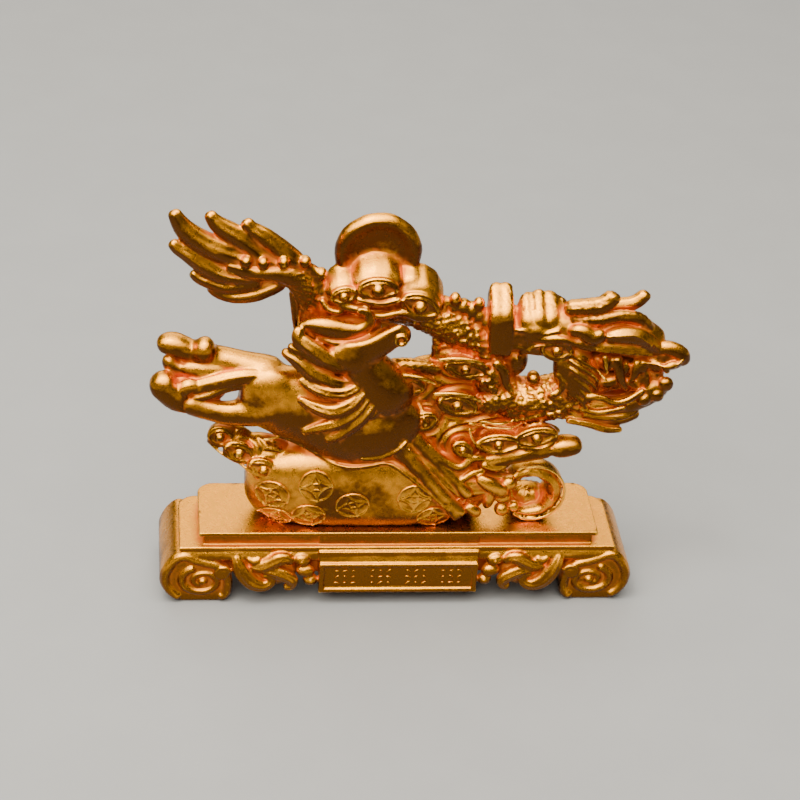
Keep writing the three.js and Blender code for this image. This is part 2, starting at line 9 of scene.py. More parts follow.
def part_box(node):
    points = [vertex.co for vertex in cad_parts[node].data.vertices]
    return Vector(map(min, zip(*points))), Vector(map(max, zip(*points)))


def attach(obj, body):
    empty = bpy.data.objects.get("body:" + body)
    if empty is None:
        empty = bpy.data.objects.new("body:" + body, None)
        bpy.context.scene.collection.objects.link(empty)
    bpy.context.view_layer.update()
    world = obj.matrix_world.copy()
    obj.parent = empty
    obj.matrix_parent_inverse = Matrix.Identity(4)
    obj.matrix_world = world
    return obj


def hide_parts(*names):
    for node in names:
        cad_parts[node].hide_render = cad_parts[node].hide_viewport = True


bl_info = {
    "name": "Gilded dragon ornament",
    "version": (1, 0, 0),
    "blender": (4, 5, 0),
    "location": "View3D > Sidebar > Ornament",
    "description": "Carves the gilded plinth and the dragon and horse group around the packed solids",
    "category": "Object",
}

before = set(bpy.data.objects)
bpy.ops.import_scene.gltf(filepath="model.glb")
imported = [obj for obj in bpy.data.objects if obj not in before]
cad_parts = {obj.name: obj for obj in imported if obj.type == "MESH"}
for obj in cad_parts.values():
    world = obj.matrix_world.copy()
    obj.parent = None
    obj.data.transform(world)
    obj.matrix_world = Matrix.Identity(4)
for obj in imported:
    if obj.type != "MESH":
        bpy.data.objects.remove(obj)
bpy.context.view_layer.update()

# Every length below is in millimetres from the middle of the plinth, on the surface it stands on: X along the
# plinth, Y away from the viewer, Z up. The plinth's own box says where that point lies in the frame.
MM = 0.001
FOOT_FRONT = 18.5
PLINTH_LOW, PLINTH_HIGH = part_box("plinth")
HOME = np.array([(PLINTH_LOW.x + PLINTH_HIGH.x) / 2, PLINTH_HIGH.y - FOOT_FRONT * MM, PLINTH_LOW.z])
PLINTH_TOP = (PLINTH_HIGH.z - PLINTH_LOW.z) / MM
SEAT = (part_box("dragon_and_horse")[0].z - PLINTH_LOW.z) / MM
VIEWER = np.array([0.0, -1.0, 0.0])
TURN = 2 * math.pi


# The user's sizes and colours.
class OrnamentSizes(bpy.types.PropertyGroup):
    plinth_grain: bpy.props.FloatProperty(
        name="Plinth fineness", description="Cell of the fused plinth", default=0.36 * MM, unit="LENGTH")
    figure_grain: bpy.props.FloatProperty(
        name="Figure fineness", description="Cell of the fused figure", default=0.36 * MM, unit="LENGTH")
    plinth_faces: bpy.props.IntProperty(
        name="Plinth faces", description="Most triangles of the plinth", default=150000)
    figure_faces: bpy.props.IntProperty(
        name="Figure faces", description="Most triangles of the figure", default=192000)
    scale_pitch: bpy.props.FloatProperty(
        name="Scale pitch", description="Length of a dragon's scale", default=2.7 * MM, unit="LENGTH")
    coin_radius: bpy.props.FloatProperty(
        name="Coin radius", description="Radius of a coin on the sack", default=6.4 * MM, unit="LENGTH")
    eye_knob: bpy.props.FloatProperty(
        name="Cloud knob", description="Radius of the knob in a cloud's eye", default=1.8 * MM, unit="LENGTH")


class OrnamentColours(bpy.types.PropertyGroup):
    gold: bpy.props.FloatVectorProperty(
        name="Gold", description="The polished gilding", subtype="COLOR", default=(0.98, 0.39, 0.014))
    # Paler gold on the sharp edges.
    pale_gold: bpy.props.FloatVectorProperty(
        name="Edge gold", description="Gilding on the edges", subtype="COLOR", default=(1.0, 0.50, 0.045))
    # Shaded gold is painted shade: the dark colour put on faces that turn away from above, standing in for
    # their shade and dark reflections.
    painted_shade_colour: bpy.props.FloatVectorProperty(
        name="Shaded gold", description="Dark film on it", subtype="COLOR", default=(0.115, 0.038, 0.005))
    # The glaze colour is partly the glaze in the crevices and partly painted shade in the hollows.
    glaze_and_shade: bpy.props.FloatVectorProperty(
        name="Glaze And Shade", description="Orange-red in the crevices", subtype="COLOR", default=(0.80, 0.19, 0.008))
    floor: bpy.props.FloatVectorProperty(
        name="Floor", description="The pale floor", subtype="COLOR", default=(0.31, 0.315, 0.34))


# Forms. Each function gives (vertices, faces) of a closed shell.
def smooth_line(stations, step):
    """Centripetal Catmull-Rom curve through rows of x, y, z, r: each span is a cubic whose end slopes
    weigh its neighbours by the square root of their distance. It is resampled at an even step of arc
    length."""
    s = np.asarray(stations, float)
    ends = np.vstack([2 * s[0] - s[1], s, 2 * s[-1] - s[-2]])
    gap = np.maximum(np.sqrt(np.linalg.norm(np.diff(ends[:, :3], axis=0), axis=1)), 1e-3)
    w = np.linspace(0, 1, 20, endpoint=False)[:, None]
    spans = []
    for i in range(len(s) - 1):
        a, b, c, d = ends[i : i + 4]
        ga, gb, gc = gap[i : i + 3]
        leave = ((b - a) / ga - (c - a) / (ga + gb) + (c - b) / gb) * gb
        arrive = ((c - b) / gb - (d - b) / (gb + gc) + (d - c) / gc) * gb
        spans.append(
            (2 * w**3 - 3 * w**2 + 1) * b + (w**3 - 2 * w**2 + w) * leave
            + (3 * w**2 - 2 * w**3) * c + (w**3 - w**2) * arrive)
    line = np.vstack(spans + [s[-1:]])
    arc = np.concatenate([[0], np.cumsum(np.linalg.norm(np.diff(line[:, :3], axis=0), axis=1))])
    at = np.linspace(0, arc[-1], max(int(arc[-1] / step), 8) + 1)
    return np.column_stack([np.interp(at, arc, line[:, k]) for k in range(4)]), at


def facing_out(points, faces):
    """Turns the faces round where the shell's signed volume is below nothing."""
    a, b, c = (points[faces[:, k]] for k in range(3))
    return (points, faces) if (a * np.cross(b, c)).sum() > 0 else (points, faces[:, ::-1])


def close_rings(rings):
    """Joins rings of points (n, m, 3) into one shell, with the middle of the first and last ring as poles."""
    n, m, _ = rings.shape
    points = np.vstack([rings.reshape(-1, 3), rings[0].mean(0), rings[-1].mean(0)])
    i = np.arange(n - 1)[:, None] * m
    j = np.arange(m)[None, :]
    k = (j + 1) % m
    side = np.stack([i + j, i + k, i + m + k, i + m + j], -1).reshape(-1, 4)
    faces = np.vstack([side[:, [0, 1, 2]], side[:, [0, 2, 3]]])
    j, k = j[0], k[0]
    head = np.column_stack([np.full(m, n * m), k, j])
    tail = np.column_stack([np.full(m, n * m + 1), (n - 1) * m + j, (n - 1) * m + k])
    return facing_out(points, np.vstack([faces, head, tail]))


def arc(centre, r, start, end, count, *width):
    """Places round a circle that faces the viewer, from one angle to another."""
    x, y, z = centre
    return [[x + r * math.cos(t), y, z + r * math.sin(t), *width] for t in np.linspace(start, end, count)]


def stroke(stations, depth=0.9, relief=None, around=26, step=0.45, blunt=1.0):
    """A round-ended form along a smooth line of stations x, y, z, r. A ring's point is centre + width
    cos(a) r + out sin(a) r depth, where out leans to the viewer. Near an end r falls off as a quarter
    ellipse, which is blunt times r long. A relief adds a height that depends on the length along the
    line, the angle and r."""
    line, at = smooth_line(stations, step)
    centre, r = line[:, :3], line[:, 3]
    tangent = np.gradient(centre, axis=0)
    tangent /= np.linalg.norm(tangent, axis=1)[:, None]
    width = np.cross(tangent, VIEWER)
    width /= np.maximum(np.linalg.norm(width, axis=1)[:, None], 1e-6)
    out = np.cross(width, tangent)
    head, tail = min(r[0], at[-1] * 0.3), min(r[-1] * blunt, at[-1] * 0.3)
    reach = np.minimum(at / head, 1), np.minimum((at[-1] - at) / tail, 1)
    cap = np.sqrt(np.clip(1 - (1 - reach[0]) ** 2, 0, 1)) * np.sqrt(np.clip(1 - (1 - reach[1]) ** 2, 0, 1))
    a = np.linspace(0, TURN, around, endpoint=False)
    radius = np.repeat(r[:, None], around, 1)
    if relief:
        radius = radius + relief(at[:, None], a[None, :], r[:, None])
    radius = radius * np.maximum(cap, 0.02)[:, None]
    rings = centre[:, None] + radius[..., None] * (
        np.cos(a)[None, :, None] * width[:, None] + depth * np.sin(a)[None, :, None] * out[:, None])
    return close_rings(rings)


def lump(centre, half, tilt=0.0, relief=None, across=28, up=18):
    """An oval with half sizes a, b, c, turned by tilt about Y. The relief scales each point by its angles."""
    polar = np.linspace(0.05, math.pi - 0.05, up)[:, None]
    a = np.linspace(0, TURN, across, endpoint=False)[None, :]
    ball = np.stack([np.sin(polar) * np.cos(a), np.sin(polar) * np.sin(a), np.cos(polar) + 0 * a], -1)
    if relief:
        ball = ball * (1 + relief(polar, a))[..., None]
    points = ball * np.asarray(half, float)
    x = points[..., 0] * math.cos(tilt) + points[..., 2] * math.sin(tilt)
    z = points[..., 2] * math.cos(tilt) - points[..., 0] * math.sin(tilt)
    return close_rings(np.stack([x, points[..., 1], z], -1) + np.asarray(centre, float))


def knob(centre, r):
    return lump(centre, [r, r, r], across=16, up=12)


def lathe(profile, sides=96):
    """Radii and heights turned about the Y axis, front first."""
    r, h = np.asarray(profile, float).T
    a = np.linspace(0, TURN, sides, endpoint=False)
    ring = np.stack([r[:, None] * np.cos(a), h[:, None] + 0 * a, -r[:, None] * np.sin(a)], -1)
    return close_rings(ring)


def torus(points):
    """Joins rings of points (n, m, 3) that close on themselves both ways."""
    n, m, _ = points.shape
    i = np.arange(n)[:, None]
    j = np.arange(m)[None, :]
    a, b = i * m + j, i * m + (j + 1) % m
    c, d = ((i + 1) % n) * m + (j + 1) % m, ((i + 1) % n) * m + j
    quads = np.stack([a, b, c, d], -1).reshape(-1, 4)
    return facing_out(points.reshape(-1, 3), np.vstack([quads[:, [0, 1, 2]], quads[:, [0, 2, 3]]]))


def mirror(shells):
    """The other hand of each shell: X changes sign and the faces turn round."""
    return [(p * [-1, 1, 1], f[:, ::-1]) for p, f in shells]


# Reliefs for strokes. A ridge rises from below the form's own skin, by its mean height.
RIDGE_MEAN = 0.65


def scales(pitch, height, count=None):
    """Staggered diamond scales: sqrt|cos(u + v) cos(u - v)| of the length u and the angle v makes full domes
    with narrow valleys between them."""

    def relief(at, a, r):
        n = count or 2 * max(int(round(TURN * float(np.median(r)) / pitch / 2)), 3)
        u = math.pi * at / (1.25 * pitch)
        v = n * a / 2
        return height * (np.sqrt(np.abs(np.cos(u + v) * np.cos(u - v))) * 1.5 - 1)

    return relief


def strands(count, height):
    """Round ridges along the form: |cos| of the angle."""
    return lambda at, a, r: height * (np.abs(np.cos(count * a / 2 + 0 * at)) - RIDGE_MEAN)


def ribs(pitch, height):
    """Round ridges across the form: |cos| of the length."""
    return lambda at, a, r: height * (np.abs(np.cos(math.pi * at / pitch)) - RIDGE_MEAN)


def grooved(*grooves):
    """Furrows along the front of a form: each angle, depth and width takes a bell-shaped dip out of r."""

    def relief(at, a, r):
        height = 0 * at * a
        for angle, deep, wide in grooves:
            height = height - deep * np.exp(-(((a - angle) / wide) ** 2))
        return height

    return relief


def cloud_eye(centre, half_long, half_high, tilt=0.0, knob_r=None, proud=2.6):
    """A cloud lobe on its side of the relief: an oval dome with a rolled rim, whose middle carries two
    pointed lids round a knob. The lids stand where |v| + 0.9 u^2 equals 0.62 and 0.86, and the rim at
    radius 0.93."""
    if knob_r is None:
        knob_r = bpy.context.scene.ornament_sizes.eye_knob / MM
    q = np.linspace(0.02, 1, 30)[:, None]
    a = np.linspace(0, TURN, 64, endpoint=False)[None, :]
    u, v = q * np.cos(a), q * np.sin(a)
    lens = np.abs(v) * 1.25 + 0.95 * u**2
    lids = 0.8 * np.exp(-(((lens - 0.78) / 0.10) ** 2)) - 0.7 * np.exp(-((lens / 0.45) ** 2))
    rim = 0.8 * np.exp(-(((q - 0.9) / 0.09) ** 2))
    y = -proud * np.sqrt(1 - 0.8 * q**2) - lids - rim
    front = np.stack([half_long * u, y, half_high * v], -1)
    back = np.stack([0.9 * half_long * u[::-1], np.abs(y[::-1]), 0.9 * half_high * v[::-1]], -1)
    p, faces = close_rings(np.vstack([front, back]))
    c, s = math.cos(tilt), math.sin(tilt)
    turned = np.column_stack([p[:, 0] * c + p[:, 2] * s, p[:, 1], p[:, 2] * c - p[:, 0] * s])
    centre = np.asarray(centre, float)
    return [(turned + centre, faces), knob(centre + [0, 0.2 - proud, 0], knob_r)]


def shelf(outline, front, back, rise=0.0, power=5.0):
    """A closed outline in x, z carried from front to back. z grows by rise times the depth past the
    middle. The outline is drawn in towards its mean by a superellipse: |2 s - 1|^p + size^p = 1 for the
    share s of depth."""
    share = (0.5 - 0.5 * np.cos(np.linspace(0.06, math.pi - 0.06, 15)))[:, None]
    size = (1 - np.abs(2 * share - 1) ** power) ** (1 / power)
    middle = outline.mean(0)
    x, z = (middle[k] + (outline[:, k] - middle[k])[None] * size for k in range(2))
    y = front + (back - front) * share + 0 * x
    return close_rings(np.stack([x, y, z + rise * (y - (front + back) / 2)], -1))


def rounded(points):
    """A closed smooth outline through rows of x, z."""
    line, _ = smooth_line([[x, 0, z, 1] for x, z in [*points, points[0]]], 0.4)
    return line[:-1, [0, 2]]


def lobe(centre, half_long, half_high, tilt, front, back, rise=0.4):
    """A cloud lobe that runs back into the group: a lens outline, fluted along the top, carried back and
    up."""
    a = np.linspace(0, TURN, 90, endpoint=False)
    r = 1 + 0.014 * np.cos(11 * a)
    x = half_long * r * np.cos(a)
    z = half_high * r * np.sin(a) * (0.72 + 0.28 * np.abs(np.sin(a)))
    c, s = math.cos(tilt), math.sin(tilt)
    outline = np.column_stack([x * c + z * s, z * c - x * s]) + [centre[0],
                                                                 centre[2] + rise * (back - front) / 2]
    return shelf(outline, front, back, rise)


def cloud_mass(centre, half, tilt, eyes, pitch=2.7, height=0.75):
    """An oval bank of cloud. Its front is carved in rounded bands that run round the nearest cloud eye, at a
    fixed pitch from it: y falls by height |cos| of the distance."""
    points, faces = lump(centre, half, tilt, None, 150, 90)
    away = np.full(len(points), 1e6)
    for (x, _, z), long, high, *_ in eyes:
        away = np.minimum(away, np.hypot((points[:, 0] - x) * high / long * 1.1, points[:, 2] - z))
    front = np.clip((centre[1] + 0.5 - points[:, 1]) / 2, 0, 1)
    points[:, 1] -= front * height * (np.abs(np.cos(math.pi * away / pitch)) * 1.6 - 1)
    return points, faces


# Putting shells together. A painted shade table is a row of heights and a row of the share of painted shade
# there.
BOX_MARGIN = 1e-5
EVEN_PAINTED_SHADE = (0, 1), (1, 1)


def drape(lines, shells, reach=4.0):
    """Lays thin raised lines on the shells: each point of a smooth line keeps its x and z, and its y
    comes from where a ray from the viewer's side first meets the shells, if that is within reach of the y
    it was given."""
    points, faces = stack(shells)
    tree = BVHTree.FromPolygons(points.tolist(), faces.tolist())
    laid = []
    for stations, r in lines:
        line, _ = smooth_line([[*p, r] for p in stations], 1.0)
        hits = [tree.ray_cast(Vector((x, -60, z)), Vector((0, 1, 0)))[0] for x, _, z, _ in line]
        y = np.array([
            hit.y if hit and abs(hit.y - given) < reach else given for hit, given in zip(hits, line[:, 1])])
        padded = np.pad(y, 2, mode="edge")
        line[:, 1] = sum(padded[k : k + len(y)] for k in range(5)) / 5 - 0.1
        laid.append(stroke(line, depth=1.1, around=10, step=0.45))
    return laid


def stack(shells):
    """The points of all the shells, and their faces counted on."""
    starts = np.cumsum([0] + [len(p) for p, _ in shells[:-1]])
    return np.vstack([p for p, _ in shells]), np.vstack([f + s for (_, f), s in zip(shells, starts)])


def mesh_from(name, shells):
    """One mesh of all the shells, in metres, in the frame."""
    points, faces = stack(shells)
    return raw_mesh(name, points * MM + HOME, faces.astype(np.int32))


def raw_mesh(name, points, faces):
    mesh = bpy.data.meshes.new(name)
    mesh.vertices.add(len(points))
    mesh.vertices.foreach_set("co", points.astype(np.float32).ravel())
    mesh.loops.add(faces.size)
    mesh.loops.foreach_set("vertex_index", faces.ravel())
    mesh.polygons.add(len(faces))
    mesh.polygons.foreach_set("loop_start", np.arange(0, faces.size, 3, dtype=np.int32))
    mesh.update(calc_edges=True)
    mesh.validate()
    return mesh


def read(rows, name, width=1, kind=np.float32):
    """One property of all the rows of a mesh, width numbers a row."""
    values = np.empty(len(rows) * width, kind)
    rows.foreach_get(name, values)
    return values if width == 1 else values.reshape(-1, width)


def vertex_places(mesh):
    return read(mesh.vertices, "co", 3).astype(float)


def vertex_normals(mesh):
    return read(mesh.vertices, "normal", 3).astype(float)


def triangles(mesh):
    """The corners of a mesh of triangles."""
    return read(mesh.loops, "vertex_index", 1, np.int32).reshape(-1, 3)


def move_vertices(obj, points):
    obj.data.vertices.foreach_set("co", points.astype(np.float32).ravel())
    obj.data.update()


def solid_near(points, normals, area, cell, spread):
    """How full the space is round any place, from 0 in the open to 1 deep inside. The area-weighted
    normals are summed on a grid. The filled space is the field whose gradient they are, so it is found by
    dividing their divergence by the Laplacian among the waves, and is blurred there by a bell curve of
    the given spread."""
    p = points / MM
    low = p.min(0) - 5 * spread
    shape = np.ceil((p.max(0) - low + 5 * spread) / cell).astype(int)
    flat = np.ravel_multi_index(np.round((p - low) / cell).astype(int).T, shape)
    k = np.meshgrid(*[TURN * np.fft.fftfreq(n, cell) for n in shape[:2]],
                    TURN * np.fft.rfftfreq(shape[2], cell), indexing="ij")
    square = sum(axis**2 for axis in k)
    square[0, 0, 0] = 1
    total = np.zeros(square.shape, complex)
    for axis in range(3):
        field = np.bincount(flat, area * normals[:, axis], int(np.prod(shape))).reshape(shape) / cell**3
        total += 1j * k[axis] * np.fft.rfftn(field)
    total *= np.exp(-square * spread**2 / 2) / square
    filled = np.fft.irfftn(total, s=tuple(shape))
    filled -= np.median(filled[:2])

    def fullness(places, directions, offset):
        at = np.round(((places / MM + directions * offset) - low) / cell).astype(int)
        return filled[tuple(np.clip(at, 0, shape - 1).T)]

    return fullness


def neighbour_mean(values, edges, count):
    """The mean of each vertex's neighbours, for every column of values."""
    total = np.zeros_like(values)
    for k in range(values.shape[1]):
        total[:, k] = np.bincount(edges[:, 0], values[edges[:, 1], k], len(values))
        total[:, k] += np.bincount(edges[:, 1], values[edges[:, 0], k], len(values))
    return total / count[:, None]


def modify(obj, kind, **settings):
    """Adds a modifier, applies it, and gives the object the finished mesh."""
    modifier = obj.modifiers.new(kind.title(), kind)
    for key, value in settings.items():
        setattr(modifier, key, value)
    graph = bpy.context.evaluated_depsgraph_get()
    made = bpy.data.meshes.new_from_object(obj.evaluated_get(graph))
    obj.modifiers.clear()
    old, obj.data = obj.data, made
    bpy.data.meshes.remove(old)


def soften(obj, rounds, keep_volume=0.53, strength=0.5):
    """Taubin smoothing: each round moves the vertices towards their neighbours' mean, then back a little
    more."""
    points, edges = vertex_places(obj.data), read(obj.data.edges, "vertices", 2, np.int32)
    count = np.maximum(np.bincount(edges.ravel(), minlength=len(points)), 1)
    for _ in range(rounds):
        for share in (strength, -keep_volume):
            points += share * (neighbour_mean(points, edges, count) - points)
    move_vertices(obj, points)


def fuse(name, shells, cell):
    """An object that is all the shells run together into one closed surface on a grid of cells."""
    obj = bpy.data.objects.new(name, mesh_from(name, shells))
    bpy.context.scene.collection.objects.link(obj)
    modify(obj, "REMESH", mode="VOXEL", voxel_size=cell, adaptivity=0.0)
    return obj


def blend(name, shells, cell, rounds):
    """The shells fused on a coarse grid and relaxed, so that they flow into each other like muscles."""
    obj = fuse(name, shells, cell)
    modify(obj, "TRIANGULATE")
    soften(obj, rounds, keep_volume=0.0, strength=0.6)
    mesh = obj.data
    shell = (vertex_places(mesh) - HOME) / MM, triangles(mesh)
    bpy.data.objects.remove(obj)
    bpy.data.meshes.remove(mesh)
    return shell


def unevenness(obj, height):
    """Cast skin: sums of sines along slanted directions move each vertex along its normal."""
    points, normals = vertex_places(obj.data), vertex_normals(obj.data)
    p = points / MM
    wave = np.zeros(len(p))
    for length, share in ((9.0, 1.0), (5.3, 0.7), (2.9, 0.45), (1.9, 0.3)):
        for slant in ((1.0, 0.3, 0.5), (-0.4, 0.8, 0.9), (0.6, -0.7, 0.8)):
            wave += share * np.sin(TURN / length * (p @ np.array(slant)) + 7 * share + 3 * slant[1])
    move_vertices(obj, points + normals * (wave * height * MM / 4)[:, None])


def read_form(obj, fused, painted_shade):
    """Stores three values at each vertex: hollow is how full the space in front of the skin is, edge is
    how empty the space round it is, and under is how far it turns away from above, scaled by the shares
    of painted shade at each height. The material paints shade where under is high, and lays glaze with
    painted shade where hollow is high. The first vertices, as many as were fused, make up the solid that
    is felt for."""
    points, normals = vertex_places(obj.data), vertex_normals(obj.data)
    area = vertex_area(obj.data, len(points))[:fused]
    body = points[:fused], normals[:fused], area
    broad = solid_near(*body, cell=0.8, spread=2.2)(points, normals, offset=2.0)
    near = solid_near(*body, cell=0.6, spread=0.9)(points, normals, offset=0.0)
    values = {
        "hollow": np.clip((broad - 0.20) / 0.32, 0, 1) + np.clip((near - 0.60) / 0.3, 0, 0.5),
        "edge": np.clip((0.36 - near) / 0.2, 0, 1),
        "under": np.clip(0.62 - 0.95 * normals[:, 2], 0, 1) * np.interp((points[:, 2] - HOME[2]) / MM, *painted_shade)}
    for name, value in values.items():
        layer = obj.data.attributes.new(name, "FLOAT", "POINT")
        layer.data.foreach_set("value", np.clip(value, 0, 1).astype(np.float32))


def vertex_area(mesh, size):
    """A third of the area of each face, added to each of its vertices, in square millimetres."""
    share = np.repeat(read(mesh.polygons, "area"), 3) / 3
    return np.bincount(triangles(mesh).ravel(), share, size) / MM**2


def grains(points, pitch):
    """Rounded grains, from 0 to 1: one centre in each cell of a cubic lattice of this pitch, moved by a
    third of a cell by fixed sines of the cell's place. The height is 1 - 2 d^2, with d the distance to
    the nearest."""
    p = points / pitch
    cell = np.floor(p)
    nearest = np.full(len(p), 9.0)
    for offset in np.ndindex(3, 3, 3):
        at = cell + np.array(offset) - 1
        shift = np.sin(at @ np.array([[12.9, 78.2, 37.7], [39.3, 11.1, 83.2], [26.6, 53.7, 19.4]]) * 43.7)
        nearest = np.minimum(nearest, ((at + 0.5 + 0.33 * shift - p) ** 2).sum(1))
    return np.clip(1 - 2 * nearest, 0, 1)


def grain_near(obj, lines, reach, pitch, height):
    """Raises grains along the normals wherever the skin is within reach of the lines' own radius."""
    points, normals = vertex_places(obj.data), vertex_normals(obj.data)
    p = (points - HOME) / MM
    mask = np.zeros(len(p))
    for stations in lines:
        line, _ = smooth_line(stations, 1.5)
        for centre in line:
            gap = np.linalg.norm(p - centre[:3], axis=1) - centre[3]
            mask = np.maximum(mask, np.clip((reach - gap) / 0.8, 0, 1))
    move_vertices(obj, points + normals * (mask * height * MM * (grains(p, pitch) - 0.55))[:, None])


def carve(name, solid, shells, crisp, cell, most_faces, skin, grained=(), painted_shade=EVEN_PAINTED_SHADE, floor_z=None):
    """Fuses the shells, softens them, gives them a cast skin and grained parts, keeps them within the solid's
    own box, thins them to a number of faces, adds the crisp shells and stores the hollows and edges."""
    if floor_z is not None:
        shells = [(np.column_stack([p[:, :2], np.maximum(p[:, 2], floor_z)]), f) for p, f in shells]
    obj = fuse(name, shells, cell)
    soften(obj, 2)
    unevenness(obj, skin)
    for lines, reach, pitch, height in grained:
        grain_near(obj, lines, reach, pitch, height)
    low, high = (np.array(corner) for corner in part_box(solid))
    move_vertices(obj, np.clip(vertex_places(obj.data), low + BOX_MARGIN, high - BOX_MARGIN))
    room = most_faces - sum(len(f) for _, f in crisp)
    made = 2 * len(obj.data.polygons)
    if made > room:
        modify(obj, "DECIMATE", ratio=room / made, use_collapse_triangulate=True)
    else:
        modify(obj, "TRIANGULATE")
    fused = len(obj.data.vertices)
    join_shells(obj, crisp)
    read_form(obj, fused, painted_shade)
    obj.data.polygons.foreach_set("use_smooth", np.ones(len(obj.data.polygons), bool))
    obj.data.name = name
    return obj


def join_shells(obj, shells):
    """Adds closed shells to the object's mesh."""
    first = (vertex_places(obj.data) - HOME) / MM, triangles(obj.data)
    old, obj.data = obj.data, mesh_from(obj.name, [first, *shells])
    bpy.data.meshes.remove(old)


# The plinth.
SLAB_BOTTOM = PLINTH_TOP - 1.8
STEP_BOTTOM = SLAB_BOTTOM - 4.4
LOWER_BOTTOM = STEP_BOTTOM - 1.8


def slab(half_long, half_deep, corner, bottom, top):
    """A slab with its two back corners rounded in plan and every rim rounded over: rings of the plan,
    drawn in by a quarter circle at the top and the bottom."""
    rounding = 0.35
    quarter = np.linspace(0, math.pi / 2, 10)
    across, along = corner * np.cos(quarter), corner * np.sin(quarter)
    right = np.column_stack([half_long - corner + across, half_deep - corner + along])
    left = np.column_stack([corner - half_long - along, half_deep - corner + across])
    front_x = np.linspace(-half_long, half_long, 12)
    front = np.column_stack([front_x, np.full(12, -half_deep)])
    plan = np.vstack([front, right, left])
    turn = np.linspace(0, math.pi / 2, 5)
    inset = np.concatenate([rounding * (1 - np.sin(turn)), rounding * (1 - np.cos(turn))])
    height = np.concatenate([bottom + rounding * (1 - np.cos(turn)), top - rounding * (1 - np.sin(turn))])
    shrink = 1 - inset[:, None, None] / np.array([half_long, half_deep])
    rings = np.dstack([plan[None] * shrink, np.repeat(height[:, None], len(plan), 1)])
    return close_rings(rings)


def bar(profile, half_long):
    """A profile of y, z points carried along X, with both ends drawn in a little."""
    rounding = 0.3
    p = np.asarray(profile, float)
    middle = p.mean(0)
    xs = np.array([-half_long, rounding - half_long, half_long - rounding, half_long])
    size = np.array([0.985, 1, 1, 0.985])
    yz = middle + (p - middle)[None] * size[:, None, None]
    rings = np.dstack([np.repeat(xs[:, None], len(p), 1), yz])
    return close_rings(rings)


def block(low, high, rounding=0.3):
    """A box with its upright edges rounded."""
    low, high = np.asarray(low, float), np.asarray(high, float)
    half = (high - low) / 2
    a = np.linspace(0, TURN, 48, endpoint=False) + TURN / 96
    power = 0.06 + rounding / 12
    corner = np.column_stack([np.cos(a), np.sin(a)])
    xz = np.sign(corner) * np.abs(corner) ** power * half[[0, 2]]
    ys = np.array([-half[1], rounding - half[1], half[1] - rounding, half[1]])
    size = np.array([1 - rounding / half.min(), 1, 1, 1 - rounding / half.min()])
    rings = np.stack([
        xz[None, :, 0] * (1 - (1 - size[:, None]) * half.min() / half[0]),
        np.repeat(ys[:, None], len(xz), 1),
        xz[None, :, 1] * (1 - (1 - size[:, None]) * half.min() / half[2])], -1)
    return close_rings(rings + (low + high) / 2)


def foot_outline():
    """The volute foot's outline in x, z, from the flat underside round the roll and the bulged outer side."""
    line = [[-66.7, 0.2], [-63.8, 1.6], [-62.6, 5.0], [-62.6, 9.4], [-63.6, 13.4], [-66.4, 16.6],
            [-71.0, 18.6], [-76.6, 20.4], [-81.6, 22.4], [-84.4, 21.6], [-87.6, 18.0], [-89.9, 12.4],
            [-89.6, 7.6], [-87.0, 3.2], [-83.0, 0.2]]
    curve, _ = smooth_line([[x, 0, z, 1] for x, z in line], 0.5)
    return curve[:, [0, 2]]


def foot_shells():
    """The foot: the outline carried through the plinth, a raised border round its front, a scroll that
    winds in to the eye, and the small curl that meets the apron."""
    outline = foot_outline()
    middle = np.array([-75.5, 10.5])
    depths = np.array([-17.3, -16.7, 18.1, 18.5])
    size = np.array([0.97, 1, 1, 0.975])
    xz = middle + (outline - middle)[None] * size[:, None, None]
    rings = np.dstack([xz[..., 0], np.repeat(depths[:, None], len(outline), 1), xz[..., 1]])
    body = close_rings(rings)
    inner = middle + (outline - middle) * 0.86
    border = np.vstack([inner, inner[:1]])[::3]
    lip = stroke([[x, -16.9, z, 1.7] for x, z in border], depth=1.0, around=16)
    turn = np.linspace(0.30 * TURN, 1.75 * TURN, 30)
    r = 7.4 - 5.4 * (turn - turn[0]) / (turn[-1] - turn[0])
    wide = np.linspace(1.5, 0.9, 30)
    spiral = [[-74.0 + 1.15 * ri * math.cos(t), -17.2, 9.6 + 0.88 * ri * math.sin(t), w]
              for ri, t, w in zip(r, turn, wide)]
    coil = stroke(spiral, depth=1.0, around=16)
    eye = lump([-73.8, -17.4, 9.6], [1.7, 1.6, 1.5])
    curl_turn = np.linspace(0, 1.25 * TURN, 18)
    curl_r = 3.0 - 1.7 * curl_turn / curl_turn[-1]
    small = stroke([
        [-66.4 + ri * math.cos(t), -18.0, 13.6 + ri * math.sin(t), 0.75]
        for ri, t in zip(curl_r, curl_turn)], depth=1.2)
    pad = lump([-66.6, -17.2, 13.6], [3.6, 1.8, 3.4])
    return [body, lip, coil, eye, small, pad]


